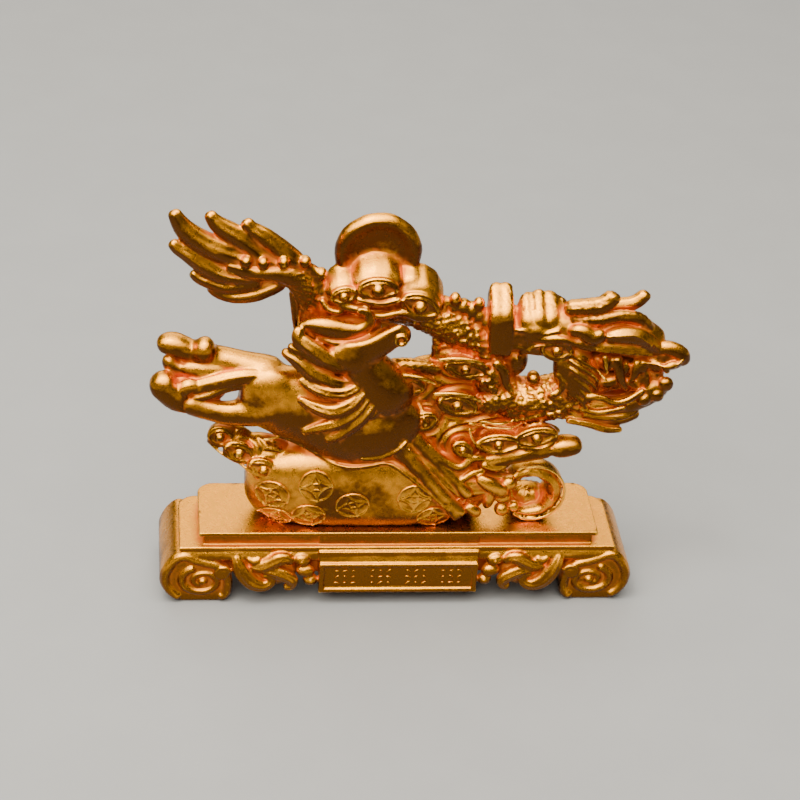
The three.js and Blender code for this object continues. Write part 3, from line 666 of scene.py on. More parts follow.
def apron_shells():
    """The carved scrolls between a foot and the plaque: a leaf that rises and curls over, a crest, a wave
    with its own curl, and three buds."""
    front = -17.0
    leaf = [[-61.8, front, 21.6, 1.2], [-60.8, front - 0.6, 18.4, 2.4], [-58.8, front - 1.0, 13.8, 3.2],
            [-55.2, front - 1.2, 9.6, 3.2], [-51.0, front - 1.2, 8.0, 2.6], [-48.0, front - 1.2, 9.8, 1.9],
            [-48.8, front - 1.4, 12.6, 1.5], [-51.6, front - 1.4, 12.6, 1.2]]
    crest = [[-56.5, front, 16.6, 1.8], [-52.6, front - 0.8, 16.4, 2.6], [-48.6, front - 1.0, 18.2, 2.9],
             [-45.0, front - 1.2, 20.4, 2.8], [-41.8, front - 0.8, 19.8, 2.2],
             [-42.4, front - 0.8, 17.4, 1.5]]
    wave = [[-52.5, front, 14.0, 1.8], [-48.0, front - 1.0, 14.6, 2.6], [-43.6, front - 1.2, 13.0, 2.8],
            [-40.2, front - 1.2, 10.2, 2.5], [-40.8, front - 1.2, 7.6, 1.8], [-43.4, front - 1.2, 7.4, 1.3]]
    thread = [[-57.6, front - 0.4, 20.4, 0.9], [-54.8, front - 0.9, 19.0, 1.5],
              [-52.0, front - 0.8, 20.2, 1.1]]
    backing = lump([-50, -15.4, 13.4], [11.6, 2.6, 7.2], 0.1)
    buds = [
        lump([-36.6, front - 0.6, 19.4], [3.3, 2.2, 2.5], 0.3),
        lump([-35.2, front - 0.8, 14.6], [3.6, 2.4, 2.6], 0.2),
        lump([-33.2, front - 0.6, 10.4], [2.8, 2.4, 2.5]), knob([-33.0, front - 2.2, 10.4], 1.2),
        knob([-36.8, front - 2.2, 19.2], 1.1)]
    flute = grooved((1.15, 0.5, 0.25), (1.95, 0.5, 0.25))
    lines = [stroke(line, depth=0.9, relief=flute, around=36) for line in (leaf, crest, wave)]
    return [*lines, stroke(thread), backing, *buds]


def band_profile():
    """The beam's section: a flat soffit, upright sides and a convex band under the lower slab."""
    turn = np.linspace(-math.pi / 2, math.pi / 2, 9)
    bulge = np.column_stack([-16.2 - 1.5 * np.cos(turn), LOWER_BOTTOM - 2.4 + 2.5 * np.sin(turn)])
    front = np.vstack([[[-15, 12.0]], [[-15.2, 17.4]], bulge, [[-15.2, LOWER_BOTTOM + 0.4]]])
    return np.vstack([front, front[::-1] * [-1, 1]])


def plaque_shells():
    """The plaque: a block with a sloping top, a sunk panel inside a raised frame, and the blocks above it
    where the band and the step stand a little forward."""
    profile = [[-13, 6], [-19.2, 6], [-19.4, 18.2], [-17.6, 22.8], [-13, 22.8]]
    body = bar(profile, 30)
    ledge = block([-30.2, -20.2, 17.4], [30.2, -17.0, 19.0])
    foot = block([-30.2, -20.2, 5.6], [30.2, -17.0, 7.4])
    sides = [block([x - 0.9, -20.2, 5.8], [x + 0.9, -17.0, 18.8]) for x in (-29.2, 29.2)]
    above = block([-30.4, -18.2, 18.8], [30.4, -14.0, 23.4])
    step = block([-30.4, -15.2, STEP_BOTTOM - 0.4], [30.4, -12.0, SLAB_BOTTOM + 0.2], rounding=0.2)
    return [body, ledge, foot, *sides, above, step]


def plaque_strokes():
    """Four groups of shallow strokes on the panel, each three rows of three: short bars that only differ in
    slant and length, by sines of their place in the row."""
    face = -19.35
    strokes = []
    for group, middle in enumerate((-20.2, -6.8, 6.8, 20.2)):
        for row, z in enumerate((15.2, 12.4, 9.6)):
            for place, x in enumerate((-3.1, 0.0, 3.1)):
                turn = 0.9 * math.sin(2.1 * group + 1.7 * row + 2.9 * place)
                half = 0.95 + 0.3 * math.sin(3.3 * group + 2.3 * place + row)
                dx, dz = half * math.cos(turn), half * math.sin(turn)
                line = [[middle + x - dx, face, z - dz, 0.42], [middle + x, face, z + 0.15, 0.5],
                        [middle + x + dx, face, z + dz, 0.3]]
                strokes.append(stroke(line, depth=0.8, around=10, step=0.4))
    return strokes


def make_plinth(sizes):
    left = foot_shells() + apron_shells()
    shells = [
        slab(75.5, 16.5, 6, SLAB_BOTTOM, PLINTH_TOP),
        slab(73.6, 14.8, 5, STEP_BOTTOM - 0.2, SLAB_BOTTOM + 0.2),
        slab(82.8, 17, 7, LOWER_BOTTOM, STEP_BOTTOM), bar(band_profile(), 81.8), *plaque_shells(), *left,
        *mirror(left)]
    return carve("plinth_gilded", "plinth", shells, plaque_strokes(), sizes.plinth_grain, sizes.plinth_faces,
                 skin=0.05)


# The sack and its coins.
SACK = {"centre": np.array([-12.5, -0.5, 45.0]), "half": np.array([46.0, 14.8, 19.0]), "fullness": 2.8}


def sack_fold(across, up):
    """The share by which the sack's side is drawn in at a shallow dent below its middle."""
    return 1 - 0.05 * np.exp(-(((across + 0.1) / 0.25) ** 2)) * np.exp(-(((up + 0.2) / 0.5) ** 2))


def sack_shell():
    """|x|^n + |y|^n + |z|^n = 1 stretched to the half sizes, with soft folds that run in to the tied neck."""
    n = SACK["fullness"]
    polar = np.linspace(0.02, math.pi - 0.02, 90)[:, None]
    a = np.linspace(0, TURN, 90, endpoint=False)[None, :]
    ball = np.stack([-np.cos(polar) + 0 * a, np.sin(polar) * np.sin(a), np.sin(polar) * np.cos(a)], -1)
    ball /= (np.abs(ball) ** n).sum(-1, keepdims=True) ** (1 / n)
    near_neck = np.clip((ball[..., 0] - 0.25) / 0.75, 0, 1)
    folds = sack_fold(ball[..., 0], ball[..., 2]) + 0.05 * near_neck * np.cos(9 * a)
    ball[..., 1:] *= folds[..., None]
    return close_rings(ball * SACK["half"] + SACK["centre"])


def sack_front(x, z):
    """The depth of the sack's front at x, z."""
    n = SACK["fullness"]
    across = (x - SACK["centre"][0]) / SACK["half"][0]
    up = (z - SACK["centre"][2]) / SACK["half"][2]
    depth = np.clip(1 - np.abs(across) ** n - np.abs(up) ** n, 0, 1) ** (1 / n)
    return SACK["centre"][1] - SACK["half"][1] * depth * sack_fold(across, up)


def sack_normal(x, z):
    """The outward normal there, from small differences of the depth."""
    d = 0.2
    slope_x = (sack_front(x + d, z) - sack_front(x - d, z)) / (2 * d)
    slope_z = (sack_front(x, z + d) - sack_front(x, z - d)) / (2 * d)
    normal = np.stack([slope_x, -np.ones_like(x), slope_z], -1)
    return normal / np.linalg.norm(normal, axis=-1, keepdims=True)


def coin(x, z, radius, turn, squeeze):
    """A coin pressed on the sack. Its height over the sack is a sum of narrow ridges: the rim circle, the
    arcs of the four leaves, which are circles about the corners of the square round it, the small square,
    and a dot."""
    q = np.linspace(0.01, 1.06, 26)[:, None]
    a = np.linspace(0, TURN, 88, endpoint=False)[None, :]
    u, v = q * np.cos(a), q * np.sin(a)
    leaf = np.hypot(1 - np.abs(u), 1 - np.abs(v)) - 1
    square = np.maximum(np.abs(u), np.abs(v)) - 0.2
    height = 0.10 + 0.5 * np.exp(-(((q - 0.96) / 0.06) ** 2)) + 0.42 * np.exp(-((leaf / 0.075) ** 2))
    height = height + 0.42 * np.exp(-((square / 0.07) ** 2)) + 0.12 * (leaf < 0) * np.clip(1 - q, 0, 0.5)
    height = np.where(q > 1.03, -1.6, height)
    c, s = math.cos(turn), math.sin(turn)
    px = x + radius * (u * c - v * s)
    normal0 = sack_normal(np.array([x]), np.array([z]))[0]
    rise = max(abs(normal0[1]), 0.55) * squeeze
    pz = z + radius * (u * s + v * c) * rise
    py = sack_front(px, pz)
    normal = sack_normal(px, pz)
    front = np.stack([px, py, pz], -1) + normal * height[..., None]
    back = front[-1:] * 0.6 + front[:1].mean(1, keepdims=True) * 0.4 + [0, 2.0, 0]
    return close_rings(np.vstack([front, back]))


def sack_shells():
    """The sack, its gathered neck, the flaring ring of its mouth with a bowl inside, and the tie with its
    knots."""
    neck = stroke([[18, -2, 46, 12], [28, -3.5, 46.5, 9.5], [36, -4.5, 46, 6.4], [43, -4.5, 45, 5.4]],
                  relief=strands(13, 0.9), around=60)
    x, y, z = 50.2, -4.5, 43.9
    turn = np.linspace(0, TURN, 25)[:-1]
    a = np.linspace(0, TURN, 90, endpoint=False)[:, None]
    thick = 2.55 + 0.9 * np.cos(a) + 0.35 * np.sin(a) + 0.15 * np.sin(7 * a)
    section = 12.0 - thick + thick * np.cos(turn), (3.2 + 0.6 * thick) * np.sin(turn) + 0 * a
    ring = torus(np.stack([x + section[0] * np.cos(a), y + section[1], z + section[0] * np.sin(a)], -1))
    tie = [[27.6, -12.0, 53.6, 1.6], [31.6, -12.6, 51.0, 2.8], [36.4, -12.2, 47.6, 3.0],
           [39.6, -11.6, 44.4, 1.6]]
    knots = [
        lump([40.6, -9.4, 49.0], [3.0, 3.0, 2.8], 0.4), lump([38.6, -9.6, 42.6], [3.0, 2.6, 2.4], -0.2),
        lump([38.6, -10.0, 37.4], [3.0, 2.8, 2.8], 0.2), lump([33.4, -9.6, 42.6], [2.4, 3.0, 5.0], 0.2),
        lump([43.4, -8.4, 37.4], [2.4, 2.2, 2.4])]
    bowl = [
        lump([50.0, 0.6, 36.6], [8.6, 5.4, 5.6], 0.1, lambda polar, a: 0.05 * np.cos(14 * a)),
        lump([57.4, -1.2, 40.6], [3.4, 4.4, 5.0], 0.2)]
    return [sack_shell(), neck, ring, stroke(tie, relief=strands(5, 0.3)), *bowl, *knots]


def coin_shells(radius):
    places = ((-32.5, 50.6, 0.1, 1.0), (-48.4, 45.6, -0.45, 0.92), (-34.8, 37.4, 0.3, 0.8),
              (-18.6, 42.4, 0.35, 0.85), (4.4, 45.4, 0.0, 0.95), (12.4, 36.4, 0.15, 0.75),
              (-47.4, 35.2, -0.3, 0.75), (25.6, 40.6, 0.2, 0.8))
    return [coin(x, z, radius, turn, squeeze) for x, z, turn, squeeze in places]


# The horse.
def horse_body():
    """The horse's trunk, neck, head, haunch and thighs, blended so that the muscles run into each other."""
    trunk = [[-62, -2, 84, 8], [-54, -2.4, 83, 12], [-45, -2.8, 81.4, 14.4], [-33, -3.4, 76.6, 15],
             [-20, -4, 71.6, 17.6], [-8, -4, 72.6, 17], [4.6, -3.6, 76, 11]]
    neck = [[-4, -5.4, 78, 12], [-9, -6.4, 87, 11.6], [-15.6, -7.0, 97, 9.4], [-22, -7.4, 104, 7.0],
            [-28, -7, 109, 4.4]]
    head = [[-31, -7.5, 105, 4], [-22, -8.4, 105, 6], [-14.5, -8.8, 108.0, 5.4], [-8, -8.8, 112.4, 4.7],
            [-3, -8.8, 116.0, 4.1]]
    bridge = [[-26, -10.0, 108.4, 2.1], [-17, -11.4, 110.8, 2.1], [-9, -11.2, 115.4, 1.9],
              [-3.6, -10.8, 118.6, 1.7]]
    far_thigh = [[-44, -1, 88, 8.8], [-54, 0, 91.0, 8.0], [-62, 1, 94.2, 6.0], [-70, 2, 96.2, 5.4],
                 [-78, 2, 98.6, 5.0], [-84, 2, 101.6, 4.4]]
    near_thigh = [[-43, -4.4, 83, 9], [-54, -5.4, 79, 6.6], [-65, -5.4, 77.4, 4.8], [-75, -5, 79.4, 4.2],
                  [-83, -5, 82.4, 4.2]]
    haunch = lump([-50, -5.2, 85.4], [11.6, 6.0, 11.4], 0.15)
    shoulder = lump([-5.0, -6.6, 74.6], [11.6, 6.2, 12.4], -0.2)
    chest = lump([-10, -6.6, 68.4], [15, 6.6, 9.4], 0.1)
    barrel = lump([-28, -6.0, 71], [14, 6.4, 11], 0.35)
    crest = lump([-24, -4.0, 99.4], [11, 4.6, 8], 0.2)
    jaw = lump([-20.4, -10.6, 103.4], [6.4, 3.6, 4.8], -0.3)
    muzzle = lump([-4.0, -9.6, 113.6], [3.5, 3.4, 4.2], 0.2)
    fetlock = lump([-74.6, -0.2, 101.4], [4.3, 4.8, 5.4], 0.2)
    forearm = [[-8, -6, 72, 7], [-2, -8.8, 65, 5], [4, -11, 58.6, 3.6]]
    shells = [
        stroke(trunk, depth=0.62, around=44), stroke(neck, depth=0.72, around=40), stroke(head, depth=0.85)]
    shells += [stroke(line) for line in (bridge, far_thigh, near_thigh, forearm)]
    shells += [haunch, shoulder, chest, barrel, crest, jaw, muzzle, fetlock]
    return blend("horse_body", shells, 0.7 * MM, 7)


def horse_shells():
    far_hoof = rounded([
        [-76.6, 96.6], [-77.6, 102.6], [-81.0, 105.0], [-84.6, 106.4], [-89.0, 106.2], [-91.4, 104.2],
        [-91.0, 101.0], [-88.0, 99.6], [-83.0, 97.4]])
    near_hoof = rounded([
        [-80.6, 78.0], [-81.6, 86.6], [-84.6, 91.0], [-87.6, 94.2], [-91.4, 93.8], [-94.0, 90.8],
        [-93.8, 87.2], [-91.6, 84.4], [-86.0, 79.6]])
    reach_hoof = rounded([
        [54.0, 62.6], [54.4, 65.6], [57.6, 68.2], [63.4, 68.4], [66.4, 66.8], [66.6, 64.4], [63.8, 62.6],
        [58.0, 61.6]])
    hooves = [
        shelf(far_hoof, -2.8, 6.2, 0.1, 2.5), shelf(near_hoof, -9.8, 0.2, 0.1, 2.5),
        shelf(reach_hoof, -12.4, -4.6, 0.2, 2.8)]
    tail_top = [[-48, -5, 92.8, 2.4], [-60, -5.4, 93.2, 2.9], [-68, -5.6, 91.6, 2.9], [-75, -5.4, 89.4, 2.7],
                [-80, -5, 87.6, 2.8]]
    tail_low = [[-48, -5, 89.6, 1.9], [-60, -5.6, 90.0, 2.0], [-67, -6.0, 88.6, 1.9], [-73, -6.0, 85.6, 1.8],
                [-79, -5.6, 83.8, 1.3]]
    tail_end = [[-76, -5.6, 89.0, 2.2], [-80.4, -6.0, 89.2, 3.0], [-82.6, -6.0, 86.2, 2.6],
                [-80.4, -6.2, 84.0, 1.7]]
    hock = [[-86, -2, 88, 3], [-78, -1, 86, 5], [-70, 0, 84.6, 5.2], [-66, 0, 83.6, 3.6]]
    near_fore = [[-4, -8.4, 67, 4.6], [0, -10.2, 62.5, 3.6], [6, -12.2, 56.5, 3.0], [13, -13.6, 48.5, 2.7],
                 [18, -14.2, 42.4, 2.7]]
    far_fore = [[-1, -5, 73, 5], [6, -8, 65, 3.4], [13, -9.8, 58, 2.8], [20, -11.2, 50.6, 2.6],
                [26, -11.8, 44.0, 2.7]]
    fore_hoof = [[16.0, -14, 44.6, 2.6], [19.6, -14.2, 40.6, 3.2], [22.4, -14.2, 37.6, 3.6]]
    coil = [[24.4, -12.4, 41.4, 2.0], [27.6, -12.8, 38.6, 2.4], [30.0, -12.2, 36.4, 2.0]]
    reach = [[28, -6, 56, 4], [38, -8, 59.6, 3.4], [48, -9, 62.3, 3.2], [56, -9, 64.2, 3.2]]
    ear = [[-41.4, -6, 114.8, 1.2], [-37.0, -6.4, 115.8, 2.8], [-31, -7.0, 115.4, 3.8],
           [-24.6, -7.4, 114.4, 3.5], [-18.8, -7.6, 115.0, 2.7], [-15.8, -7.8, 118.2, 2.1],
           [-17.0, -7.8, 122.0, 1.5], [-20.8, -7.4, 122.8, 1.0]]
    recess_floor = [[-35, -6.8, 111.4, 1.2], [-28, -8.4, 109.6, 1.4], [-20, -9.6, 110.6, 1.2],
                    [-14, -9.6, 113.6, 1.0]]
    recess_wall = lump([-24, -2.2, 112.0], [13.5, 4.0, 5.6], -0.1)
    nostril = stroke(arc([-4.6, -13.0, 113.4], 1.9, 0, TURN, 12, 0.7), depth=1.0, around=12)
    limbs = [stroke(line) for line in (hock, near_fore, far_fore, coil, reach, recess_floor)]
    tails = [
        stroke(tail_top, relief=strands(6, 0.5)), stroke(tail_low, relief=strands(5, 0.35)),
        stroke(tail_end, relief=strands(6, 0.35))]
    hair = grooved((1.1, 0.55, 0.3), (2.1, 0.55, 0.3))
    manes = [stroke(line, depth=0.9, relief=hair, around=36) for line in mane_locks()]
    flap = stroke([[-86.2, 0.6, 98.8, 2.2], [-86.8, 0.2, 95.8, 2.9], [-84.2, 0.0, 93.4, 3.2],
                   [-79.4, 0.2, 93.8, 3.0]])
    leg_web = lump([-72.6, -1.4, 92.8], [11.4, 3.4, 4.4], 0.12)
    return [
        horse_body(), stroke(ear, depth=0.9, relief=grooved((1.3, 0.5, 0.3))), nostril, flap, leg_web,
        recess_wall, *hooves, stroke(fore_hoof, blunt=0.3), *limbs, *tails, *manes]


def mane_locks():
    """Each lock streams back from the crest of the neck in an S, thick in the middle and pointed."""
    return [
        [[-19, -9.0, 99.0, 2.4], [-27, -10.0, 101.6, 3.4], [-35, -9.6, 106.6, 3.6], [-41.0, -8.4, 111.6, 2.8],
         [-40.6, -7.4, 116.0, 1.6]],
        [[-24, -9.4, 98.4, 1.6], [-32, -9.8, 101.0, 2.2], [-38.6, -9.4, 105.4, 2.4],
         [-44.8, -7.6, 108.2, 1.4]],
        [[-20, -10.0, 92.6, 2.2], [-28, -10.8, 94.2, 2.8], [-36, -10.2, 98.2, 3.2], [-42, -8.6, 103.2, 2.8],
         [-47.0, -7.0, 105.4, 1.4]],
        [[-17, -11.4, 94.0, 1.8], [-23, -12.4, 90.6, 2.6], [-30, -12.4, 90.6, 2.6], [-37, -11.2, 93.2, 1.8],
         [-40.6, -10.4, 95.6, 0.9]],
        [[-15.6, -11.8, 92.6, 1.8], [-20.6, -13.2, 86.6, 3.0], [-27.6, -13.4, 83.4, 3.2],
         [-34.6, -12.6, 84.8, 2.4], [-40.6, -11.4, 87.8, 1.0]],
        [[-13.6, -12.0, 90.6, 1.6], [-18.6, -13.6, 83.4, 2.4], [-25.6, -14.0, 78.6, 2.5],
         [-31.6, -13.6, 76.6, 2.1], [-38.8, -12.6, 73.6, 1.1]],
        [[-11.6, -12.0, 88.6, 1.5], [-15.6, -13.8, 82.6, 2.3], [-20.6, -14.2, 77.4, 2.4],
         [-25.0, -14.2, 73.4, 1.9], [-29.8, -13.6, 70.4, 1.0]],
        [[-12.6, -11.4, 88.4, 1.6], [-11.6, -12.6, 83.4, 1.8], [-14.6, -13.0, 79.6, 1.4]]]


# The dragon.
def dragon_tail_shells(pitch):
    """The flame tail: six grooved locks that fan back from the stem and run together by half their
    length, the scaly stem itself, its ridge, its fin, its lower edge and its row of knobs."""
    locks = [
        [[-50, 1, 137, 3.6], [-60, 1, 138.8, 4.6], [-68.4, 1, 141.6, 4.9], [-76.6, 1, 145.6, 4.5],
         [-82.4, 1, 150.6, 3.7], [-85.0, 1, 154.8, 2.8], [-86.4, 1, 158.0, 2.1]],
        [[-46, 1, 137, 3.6], [-52.6, 1, 138.6, 4.4], [-57.6, 1, 142.4, 4.5], [-63.6, 1, 147.6, 4.1],
         [-69.6, 1, 151.6, 3.5], [-72.6, 1, 154.8, 2.6], [-74.0, 1, 157.4, 2.0]],
        [[-40, 1, 136, 3.4], [-45.0, 1, 139.4, 4.2], [-49.0, 1, 143.0, 4.1], [-54.6, 1, 147.6, 3.7],
         [-59.2, 1, 151.2, 2.9], [-61.2, 1, 154.6, 2.1]],
        [[-54, 0, 132.4, 3.4], [-62.2, 0, 131.8, 3.8], [-69.6, 0, 133.2, 3.8], [-75.6, 0, 136.8, 3.6],
         [-81.0, 0, 141.0, 3.0], [-84.6, 0, 143.4, 2.5], [-87.0, 0, 146.2, 1.9]],
        [[-54, 0, 130.6, 3.2], [-61, 0, 129.0, 3.4], [-67.4, 0, 128.2, 3.3], [-73.4, 0, 130.0, 2.9],
         [-77.2, 0, 131.8, 2.4], [-79.6, 0, 134.2, 1.8]],
        [[-46, 0.5, 130.4, 2.8], [-51.4, 0.2, 127.4, 3.2], [-58.0, 0.2, 124.8, 3.4], [-65.4, 0.2, 124.2, 3.0],
         [-70.4, 0.4, 125.6, 2.4], [-73.4, 0.4, 128.0, 1.8]]]
    stem = [[-67.4, -2.0, 137.6, 1.8], [-58, -2.4, 135.2, 2.5], [-49, -1.6, 134.2, 3.2],
            [-41, 1.2, 130.6, 5.4], [-36.8, 2.3, 121.5, 6], [-36, 3, 112, 5.6], [-33, 3, 102, 5.6],
            [-24, 2, 96, 6]]
    ridge = [[-44, 0, 137.8, 1.6], [-36.8, 0.2, 134.8, 2.2], [-32.8, -0.4, 126, 2.3], [-31.2, -0.8, 114, 2.2]]
    fin = [[-43.8, 0.4, 126, 1.0], [-42.6, 0.2, 120, 1.4], [-41.8, 0, 113, 1.2], [-40.6, 0, 106, 0.9]]
    spines = [[-60.4, -2.8, 139.6], [-54.4, -2.8, 139.2], [-47.2, -2.6, 139.4], [-39.4, -1.0, 138.8],
              [-33.4, -0.4, 133.6]]
    web = [stroke(line, depth=0.7) for line in (
        [[-52, 1.4, 141, 5.0], [-62, 1.4, 144.6, 3.8], [-71.6, 1.4, 149.4, 2.6]],
        [[-44, 1.4, 138, 4.4], [-52, 1.4, 144.6, 3.8], [-60.2, 1.4, 150.4, 2.2]],
        [[-56, 1.2, 136.4, 4.0], [-68, 1.2, 139.8, 3.2], [-77.6, 1.2, 143.8, 2.2]],
        [[-52, 1.0, 131.6, 4.0], [-64, 1.0, 132.0, 3.0], [-73.6, 1.0, 134.6, 2.0]],
        [[-50, 1.0, 129.4, 3.4], [-60, 1.0, 127.6, 2.6], [-68.6, 1.0, 128.2, 1.8]])]
    cover = scales(pitch, 0.6, 12)
    body = stroke(stem, relief=lambda at, a, r: cover(at, a, r) * np.clip((at - 20) / 5, 0, 1), around=56)
    flame = grooved((1.0, 0.6, 0.26), (2.1, 0.35, 0.2), (4.7, 0.5, 0.4))
    return [
        *web, body, stroke(ridge, relief=ribs(2.8, 0.25)), stroke(fin),
        *[stroke(line, depth=0.85, relief=flame, around=40, blunt=0.8) for line in locks],
        *[lump(p, [2.2, 2.6, 2.4]) for p in spines]]


def disc_shell():
    """The disc: a thick plate whose broad worn rim slopes out from a dished face, a little uneven."""
    profile = np.array([[0.3, -0.6], [4.0, -0.65], [7.5, -0.9], [10.0, -1.35], [11.6, -1.95], [12.8, -2.4],
                        [13.8, -2.3], [14.8, -1.6], [15.5, -0.6], [15.8, 0.5], [15.8, 1.2], [15.2, 1.9],
                        [13.6, 2.2], [0.3, 2.2]])
    points, faces = lathe(profile)
    angle = np.arctan2(points[:, 2], points[:, 0])
    swell = 1 + 0.006 * np.sin(5 * angle + 1) + 0.004 * np.sin(11 * angle)
    return points * np.column_stack([swell, 1 + 0 * swell, swell]) + np.array([-13, 4, 139.8]), faces


def cloud_shells():
    """The clouds over the horse's head, between the horse and the dragon, under the dragon, and under the
    hind legs. Banks of banded cloud carry the eyes, and thin waves join them."""
    cap_eyes = [
        ([-25.4, -4.0, 127.6], 5.2, 3.8, -0.25, 1.7), ([-13.4, -4.8, 130.6], 7.8, 5.0, 0.0, 2.6),
        ([2.2, -4.4, 123.6], 8.0, 5.4, 0.4, 2.4)]
    middle_eyes = [
        ([-0.2, -5.6, 90.4], 6.4, 4.6, 0.2, 1.8), ([20.6, -4.6, 97.4], 8.6, 4.6, 0.25, 1.8),
        ([18.6, -6.0, 82.4], 8.2, 5.0, 0.3, 1.9), ([7, -6.6, 75.6], 5.2, 4.4, -0.4, 1.6)]
    low_eyes = [
        ([35, -8.2, 66.6], 9.0, 4.6, -0.05, 1.7), ([49, -8.2, 69.6], 8.4, 4.6, -0.2, 2.0),
        ([21.6, -8.6, 64.6], 4.6, 3.6, 0.6, 1.3)]
    rear_eyes = [
        ([-68.2, -3.2, 66.6], 4.8, 4.9, 0.0, 1.8), ([-61, -5.2, 60.8], 6.6, 4.6, 0.5, 1.9),
        ([-51.8, -7.2, 54.6], 6.8, 4.6, 0.5, 1.9)]
    shells = [
        cloud_mass([-12, 0.8, 124.6], [22.4, 5.6, 8.8], 0.0, cap_eyes),
        cloud_mass([11, 0.8, 83], [19, 6.4, 16], 0.0, middle_eyes),
        cloud_mass([16, 0.4, 61], [20.6, 7.4, 16.6], 0.4, low_eyes + middle_eyes),
        cloud_mass([28, 1.0, 72], [13, 5.4, 9], 0.0, low_eyes),
        cloud_mass([42, -2.0, 67.4], [17.4, 4.6, 4.6], 0.0, low_eyes),
        cloud_mass([18, 2, 101], [9, 4.4, 5.6], 0.0, middle_eyes),
        cloud_mass([-20, 4.2, 109.6], [15, 3.6, 8], 0.0, cap_eyes, 3.2, 0.5),
        cloud_mass([-62, -1.2, 63.6], [10, 4.0, 5.4], 0.55, rear_eyes),
        cloud_mass([-50, -2, 57.6], [12, 5.6, 7.6], 0.45, rear_eyes)]
    shells += [
        lobe([-25.8, 0, 127.6], 6.2, 4.4, -0.25, -4.8, 5, 0.45),
        lobe([-13.4, 0, 130.4], 9.2, 5.8, 0.0, -5.8, 6, 0.5),
        lobe([2.4, 0, 123.8], 9.6, 6.8, 0.45, -5.4, 6, 0.5),
        lobe([-1.0, 0, 128.8], 5.0, 4.0, 0.3, -3.8, 6, 0.5)]
    rough = [[-9, -2, 96, 2.4], [-2, -3.6, 97.4, 2.8], [6, -3.6, 96.4, 2.8], [13, -2, 94.6, 2.4]]
    strut = [[10.4, 0.5, 112, 1.9], [10.4, 0.5, 94, 2.1]]
    curls = [
        [[-30, -3.4, 128, 1.6], [-26.4, -5.0, 124.0, 1.7], [-20.0, -5.8, 122.4, 1.5],
         [-15.4, -6.0, 124.6, 1.2]],
        [[-20, -5.8, 121.2, 1.2], [-12, -6.6, 119.8, 1.4], [-4, -6.4, 121.2, 1.3], [2.4, -6.0, 118.6, 1.2],
         [8.6, -4.8, 118.8, 1.0]],
        [[-21, -6.4, 126.6, 0.9], [-12, -7.2, 125.4, 1.1], [-5.0, -7.4, 127.4, 1.0]],
        [[-33.4, -2.8, 124.8, 1.0], [-30.4, -4.4, 121.2, 1.2], [-26.4, -5.6, 121.0, 1.0],
         [-25.4, -5.8, 123.6, 0.8]]]
    waves = [
        [[-7.6, -6.6, 95.2, 0.8], [-2, -8.2, 95.8, 1.0], [5, -8.4, 94.4, 1.0], [10.4, -6.8, 91.2, 0.8]],
        [[10, -6.6, 101.4, 0.8], [17, -7.8, 102.6, 1.0], [25, -7.4, 101.0, 0.9], [29.6, -6.4, 97.4, 0.7]],
        [[9, -8.0, 87.6, 0.8], [16, -9.2, 88.4, 1.0], [24, -8.6, 86.4, 0.9], [28.6, -7.2, 82.4, 0.7]],
        [[8, -8.6, 66, 1.6], [15, -10.2, 59.4, 1.8], [21.6, -10.6, 57.0, 1.7], [25.6, -10.2, 60.6, 1.5],
         [30.6, -9.6, 60.0, 1.2]],
        [[6, -9.0, 60.6, 1.3], [13, -11.4, 53.6, 1.5], [20.6, -11.8, 51.4, 1.4], [27, -10.6, 54.6, 1.2],
         [31.0, -9.8, 54.4, 0.9]],
        [[29, -9.4, 57.6, 1.4], [34.6, -9.6, 55.6, 1.5], [40, -9.0, 57.6, 1.3]]]
    for centre, long, high, tilt, knob_r in cap_eyes + middle_eyes + low_eyes + rear_eyes:
        shells += cloud_eye(centre, long, high, tilt, knob_r)
    shells += [stroke(rough, relief=scales(2.2, 0.45)), stroke(strut, relief=ribs(3.2, 0.3))]
    return shells + [stroke(line, depth=1.0) for line in curls + waves]


def dragon_body_line():
    return [[-34, 4, 106, 5], [-24, 4.5, 114, 6], [-14, 4, 118.4, 6.4], [-4, 3, 118.6, 6.6],
            [6, 2, 115.6, 6.8], [16, 1.5, 111, 7.2], [25, 1, 104.4, 7], [31.6, 1, 95, 6.6],
            [34.4, 1, 86, 7.6], [41, 0.5, 80.6, 9], [50, 0, 80.4, 9], [59, 0, 83.4, 8.6], [65, 0, 90, 7]]


def dragon_body_shells(pitch):
    """The dragon's body: the scaly tube behind the horse's head that dips under the opening and turns up
    into the cheek, its wavy back fin, the folds beside the opening and the beads along the underside."""
    body = dragon_body_line()
    fin = [[8, 1, 122, 2.0], [16, 1, 120.4, 3.0], [24, 1, 117, 3.4], [30.6, 0, 111.6, 3.4],
           [36.4, 0, 105, 2.6]]
    folds = [
        [[30.6, -6.4, 101.0, 1.6], [34.6, -7.0, 97.0, 1.9], [36.0, -7.0, 92.0, 1.7], [39.0, -7.4, 88.0, 1.4]],
        [[26.0, -6.6, 93.0, 1.4], [30.4, -7.4, 91.0, 1.6], [32.4, -7.6, 87.0, 1.4]],
        [[54.6, -5.6, 96.0, 1.4], [57.0, -6.6, 92.4, 1.6], [56.4, -7.0, 88.6, 1.4], [52.4, -7.2, 86.4, 1.2]]]
    spines = [[15.6, 0, 123.2], [24.4, 0, 121.2], [8.6, 0, 123.4], [30.8, 0, 116.6]]
    banks = [
        lump([34, -3.4, 82.4], [9, 4.8, 5.6], -0.2), lump([47, -4.0, 82.0], [10, 4.8, 4.6], 0.1),
        lump([30, -3.0, 92.0], [6, 4.6, 7.6], 0.2)]
    return [
        stroke(body, depth=0.85, relief=scales(pitch, 0.4), around=72), stroke(fin, relief=ribs(3.6, 0.6)),
        *banks, *[stroke(line, relief=scales(1.8, 0.3)) for line in folds],
        *[lump(p, [2.2, 2.4, 2.8]) for p in spines]]


